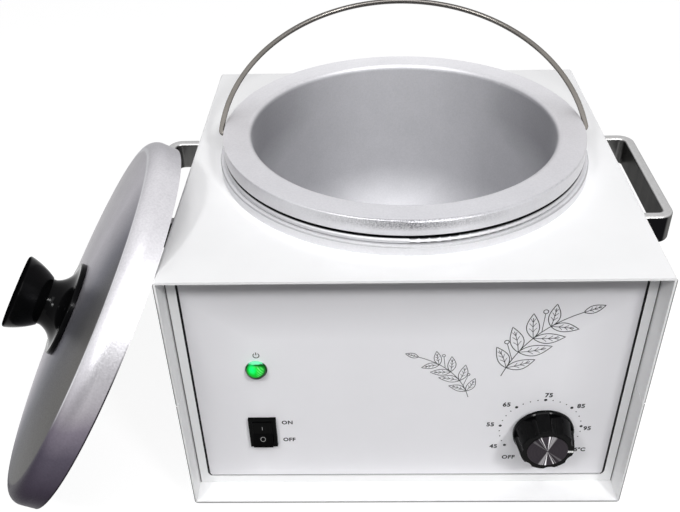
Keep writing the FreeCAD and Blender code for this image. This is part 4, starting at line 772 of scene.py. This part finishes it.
def sprig(form, stem, size, line, side):
    """A stem with leaves in pairs that get smaller, and berries on stalks on one side of it."""
    ribbon(form, stem, line)
    last, pairs, spread = len(stem) - 1, 4, math.radians(46)
    for pair in range(pairs):
        index = int(last * (0.10 + 0.80 * pair / pairs))
        along = stem[index + 1] - stem[index]
        heading = math.atan2(along.y, along.x)
        length = size * (1.0 - 0.42 * abs(pair - pairs * 0.30) / pairs)
        for hand in (-1, 1):
            leaf(form, stem[index], heading + hand * spread, length, length * 0.40, line,
                 pair * 2 + hand)
        if pair % 2:
            continue
        index = int(last * (0.10 + 0.80 * (pair + 0.52) / pairs))
        along = stem[index + 1] - stem[index]
        heading = math.atan2(along.y, along.x) + side * spread * 0.95
        way = Vector((math.cos(heading), math.sin(heading)))
        tip = stem[index] + way * length * 0.74
        ribbon(form, [stem[index], tip], line * 0.8)
        ribbon(form, loop(*(tip + way * length * 0.075), length * 0.075, 20), line, True)
    along = stem[-1] - stem[-2]
    leaf(form, stem[-1], math.atan2(along.y, along.x), size * 0.62, size * 0.26, line, 40)


# the dial's middle and the radius of its dots, the turns of its large dots, and their sizes
DIAL_X, DIAL_Z, DIAL_RING = 73.0, 52.3, 22.14
DIAL_TURNS = (-124.4, -82.6, -40.7, 1.0, 42.9, 84.7, 126.5)
LARGE_DOT, SMALL_DOT = 0.86, 0.36
# text, place of its middle, height, spacing and weight
LABELS = (
    ("45", 48.7, 38.8, 2.9, 1.1, 0.16), ("55", 45.6, 56.1, 2.9, 1.1, 0.16),
    ("65", 53.1, 71.2, 2.9, 1.1, 0.16), ("75", 74.8, 77.9, 2.9, 1.1, 0.16),
    ("85", 92.9, 69.8, 2.9, 1.1, 0.16), ("95", 98.6, 52.7, 2.9, 1.1, 0.16),
    ("OFF", 57.7, 29.9, 2.8, 1.1, 0.16), ("105°C", 95.0, 35.9, 2.8, 1.0, 0.16),
    ("ON", -65.2, 58.4, 2.65, 1.15, 0.14), ("OFF", -64.9, 45.0, 2.65, 1.1, 0.14),
)
SIGN_X, SIGN_Z, SIGN_RADIUS, SIGN_LINE = -78.2, 107.3, 1.55, 0.5


def print_panel():
    """Everything that is printed on the panel."""
    form = bmesh.new()

    def dial_dot(turn, radius, steps):
        """A dot of the dial, at a turn in degrees from upright."""
        angle = math.radians(turn)
        dot(form, DIAL_X + DIAL_RING * math.sin(angle), DIAL_Z + DIAL_RING * math.cos(angle), radius,
            steps)

    for turn in DIAL_TURNS:
        dial_dot(turn, LARGE_DOT, 18)
    for turn, after in zip(DIAL_TURNS, DIAL_TURNS[1:]):
        for step in (1, 2, 3):
            dial_dot(turn + (after - turn) / 4 * step, SMALL_DOT, 10)
    for label in LABELS:
        letters(form, *label)
    # the usual sign for power, above the lamp: an open ring and a stroke
    arc = [(SIGN_X + SIGN_RADIUS * math.sin(math.radians(turn)),
            SIGN_Z + SIGN_RADIUS * math.cos(math.radians(turn))) for turn in range(35, 326, 10)]
    ribbon(form, arc, SIGN_LINE)
    ribbon(form, [(SIGN_X, 107.6), (SIGN_X, 109.4)], SIGN_LINE)
    sprig(form, bezier((48.0, 92.0), (55.0, 112.0), (66.0, 126.0), (85.0, 134.0)), 17.5, 0.46, 1)
    sprig(form, bezier((32.0, 77.0), (28.0, 92.0), (18.0, 101.0), (5.0, 105.5)), 11.5, 0.36, -1)
    ink = plain("print_ink", (0.004, 0.004, 0.005), (0.008, 0.008, 0.009), (0.5, 0.6), 900)
    made = piece("panel_print", form, "casing", ink)
    # the ink reaches back to the panel
    depth = made.modifiers.new("depth", "SOLIDIFY")
    depth.thickness = PRINT
    depth.offset = -1


def print_rocker():
    """The line and the ring on the rocker's two faces."""
    low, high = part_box("switch_rocker")
    middle = (low.x + high.x) / 2 / MM
    pivot_y, pivot_z, face, tilt = -106.5, 52.0, 2.0, math.radians(11)
    corner = Vector((pivot_y - face * math.cos(tilt), pivot_z + face * math.sin(tilt)))

    def upper(x, up):
        """A point of the upper face, which stands upright at rest."""
        return Vector((x * MM, corner.x * MM - PRINT, (corner.y + up) * MM))

    def lower(x, down):
        """A point of the lower face, which leans out at rest."""
        y = corner.x - down * math.sin(tilt * 2)
        z = corner.y - down * math.cos(tilt * 2)
        return Vector((x * MM, y * MM - PRINT, z * MM))

    form = bmesh.new()
    line = 0.26
    ribbon(form, [(middle, 2.6), (middle, 5.2)], line, plane=upper)
    ribbon(form, loop(middle, 3.4, 1.30), line, True, plane=lower)
    ink = plain("mark_ink", grey(0.30), grey(0.40), (0.4, 0.5), 900)
    piece("rocker_marks", form, "rocker", ink)


# ---------------------------------------------------------------- bail and lamp

def bail_wire():
    """The bail as a round wire: two pins, two tight bends and a half ring."""
    wire, bend, pin = 0.0015, 0.0022, 0.005
    bend_steps, arch_steps, wire_steps = 8, 300, 24
    low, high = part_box("bail_handle")
    hinge = Vector((0, low.y + wire, low.z + wire))
    crest = Vector((0, high.y - wire, high.z - wire)) - hinge
    radius, upward = crest.length, crest.normalized()
    elbow = math.sqrt((radius - bend) ** 2 - bend ** 2)
    lift = math.asin(bend / (radius - bend))
    # the middle line from one pin to the crest: places across and up, and the turn of the wire
    half = [((pin - elbow, 0.0), -math.pi / 2), ((-elbow, 0.0), -math.pi / 2)]
    for step in range(1, bend_steps + 1):
        turn = -math.pi / 2 - (math.pi / 2 + lift) * step / bend_steps
        half.append(((-elbow + bend * math.cos(turn), bend + bend * math.sin(turn)), turn))
    for step in range(1, arch_steps + 1):
        turn = math.pi - lift - (math.pi / 2 - lift) * step / arch_steps
        half.append(((radius * math.cos(turn), radius * math.sin(turn)), turn))
    path = half + [((-x, z), math.pi - turn) for (x, z), turn in reversed(half[:-1])]
    side = Vector((1, 0, 0))
    cross = side.cross(upward)
    form = bmesh.new()
    rows = [circle(form, hinge + side * x + upward * z,
                   side * math.cos(turn) + upward * math.sin(turn), cross, wire, wire_steps)
            for (x, z), turn in path]
    skin(form, rows)
    form.faces.new(rows[0])
    form.faces.new(rows[-1])
    made = piece("bail_tube", form, "bail", looks["bail_wire"], True)
    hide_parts("bail_handle")


def lamp_lens():
    """The lamp's lens: a thin moulded rim round a high dome."""
    low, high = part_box("pilot_lamp_lens")
    outer, rise = (high.x - low.x) / 2, high.y - low.y
    ring_steps, levels = 48, 12

    def ring(form, radius, out):
        """A ring of corners, with its radius and its height given as shares of the lens's."""
        middle = Vector((LAMP.x, high.y - rise * out, LAMP.z))
        return circle(form, middle, Vector((1, 0, 0)), Vector((0, 0, 1)), outer * radius, ring_steps)

    form = bmesh.new()
    profile = [(1.0, 0.0), (1.0, 0.14), (0.985, 0.19), (0.95, 0.21), (0.93, 0.17)]
    rows = [ring(form, radius, out) for radius, out in profile]
    skin(form, rows)
    form.faces.new(rows[0])
    piece("lamp_rim", form, "casing", looks["lamp_green"], True)
    form = bmesh.new()
    turns = [level / levels * math.pi / 2 for level in range(levels)]
    rows = [ring(form, 0.94 * math.cos(turn), 0.12 + 0.87 * math.sin(turn)) for turn in turns]
    skin(form, rows)
    top = form.verts.new((LAMP.x, low.y, LAMP.z))
    for index, corner in enumerate(rows[-1]):
        form.faces.new((corner, rows[-1][(index + 1) % ring_steps], top))
    dome = piece("lamp_dome", form, "casing", looks["lamp_green"], True)
    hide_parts("pilot_lamp_lens")


# ---------------------------------------------------------------- screws

HEAD_RADIUS, HEAD_HEIGHT, SHANK_RADIUS = 0.0035, 0.0022, 0.002
# corners closer than this to a screw's first corner, across and along it, belong to that screw
SAME_ACROSS, SAME_ALONG = 0.009, 0.03


def screw_form(length):
    """A pan-head screw with a cross recess, its seat at the origin and its head along +Z."""
    radius, height, shank = HEAD_RADIUS, HEAD_HEIGHT, SHANK_RADIUS
    profile = [(0.0, height), (radius * 0.45, height * 0.97), (radius * 0.75, height * 0.82),
               (radius * 0.93, height * 0.52), (radius, height * 0.18), (radius, 0.0),
               (shank, 0.0), (shank, -length), (0.0, -length)]
    form = bmesh.new()
    corners = [form.verts.new((out, 0, up)) for out, up in profile]
    edges = [form.edges.new(pair) for pair in zip(corners, corners[1:])]
    bmesh.ops.spin(form, geom=corners + edges, cent=(0, 0, 0), axis=(0, 0, 1), angle=2 * math.pi,
                   steps=28, use_merge=True)
    bmesh.ops.remove_doubles(form, verts=form.verts, dist=1e-6)
    bmesh.ops.recalc_face_normals(form, faces=form.faces)
    head = bpy.data.meshes.new("screw")
    form.to_mesh(head)
    form.free()
    # the recess: a cross that narrows with its depth
    form = bmesh.new()
    arm, half = radius * 0.56, radius * 0.13
    outline = [(half, arm), (half, half), (arm, half), (arm, -half), (half, -half), (half, -arm),
               (-half, -arm), (-half, -half), (-arm, -half), (-arm, half), (-half, half), (-half, arm)]
    face = form.faces.new([form.verts.new((x * 0.55, y * 0.55, height * 0.25)) for x, y in outline])
    top = [form.verts.new((x, y, height * 1.2)) for x, y in outline]
    skin(form, [list(face.verts), top])
    form.faces.new(top)
    bmesh.ops.recalc_face_normals(form, faces=form.faces)
    tool = bpy.data.meshes.new("recess")
    form.to_mesh(tool)
    form.free()
    blank, cutter = (bpy.data.objects.new(mesh.name, mesh) for mesh in (head, tool))
    for thing in (blank, cutter):
        bpy.context.scene.collection.objects.link(thing)
    cross = blank.modifiers.new("cross", "BOOLEAN")
    cross.object = cutter
    cross.solver = "EXACT"
    bpy.context.view_layer.update()
    made = bpy.data.meshes.new_from_object(blank.evaluated_get(bpy.context.evaluated_depsgraph_get()))
    for thing in (blank, cutter):
        bpy.data.objects.remove(thing)
    return made


def dress_screws(node, axis, outward):
    """Replace a node's plain screws by pan heads with cross recesses, each in its own place. Outward is
    the way the heads face along the axis, or 0 where they face away from the casing's middle."""
    near = [SAME_ALONG if index == axis else SAME_ACROSS for index in range(3)]
    groups = []
    for point in (vert.co for vert in nodes[node].data.vertices):
        for members in groups:
            if all(abs(point[index] - members[0][index]) < near[index] for index in range(3)):
                members.append(point)
                break
        else:
            groups.append([point])
    form = bmesh.new()
    for members in groups:
        low = [min(point[index] for point in members) for index in range(3)]
        high = [max(point[index] for point in members) for index in range(3)]
        way = outward or (1 if (low[axis] + high[axis]) > 0 else -1)
        seat = Vector([(start + end) / 2 for start, end in zip(low, high)])
        seat[axis] = (high[axis] if way > 0 else low[axis]) - way * HEAD_HEIGHT
        aim = Vector((0, 0, 0))
        aim[axis] = way
        turn = Vector((0, 0, 1)).rotation_difference(aim).to_matrix().to_4x4()
        spin = Matrix.Rotation(len(form.verts) * 0.37, 4, "Z")
        copy = screw_form(high[axis] - low[axis] - HEAD_HEIGHT)
        copy.transform(Matrix.Translation(seat) @ turn @ spin)
        form.from_mesh(copy)
        bpy.data.meshes.remove(copy)
    made = piece(node + "_heads", form, "casing", looks["fastener_steel"])
    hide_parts(node)


print_panel()
print_rocker()
bail_wire()
lamp_lens()
dress_screws("cover_screws", 0, 0)
dress_screws("rear_panel_screws", 1, 1)
dress_screws("inlet_screws", 1, 1)

bpy.context.scene.view_settings.view_transform = "Standard"
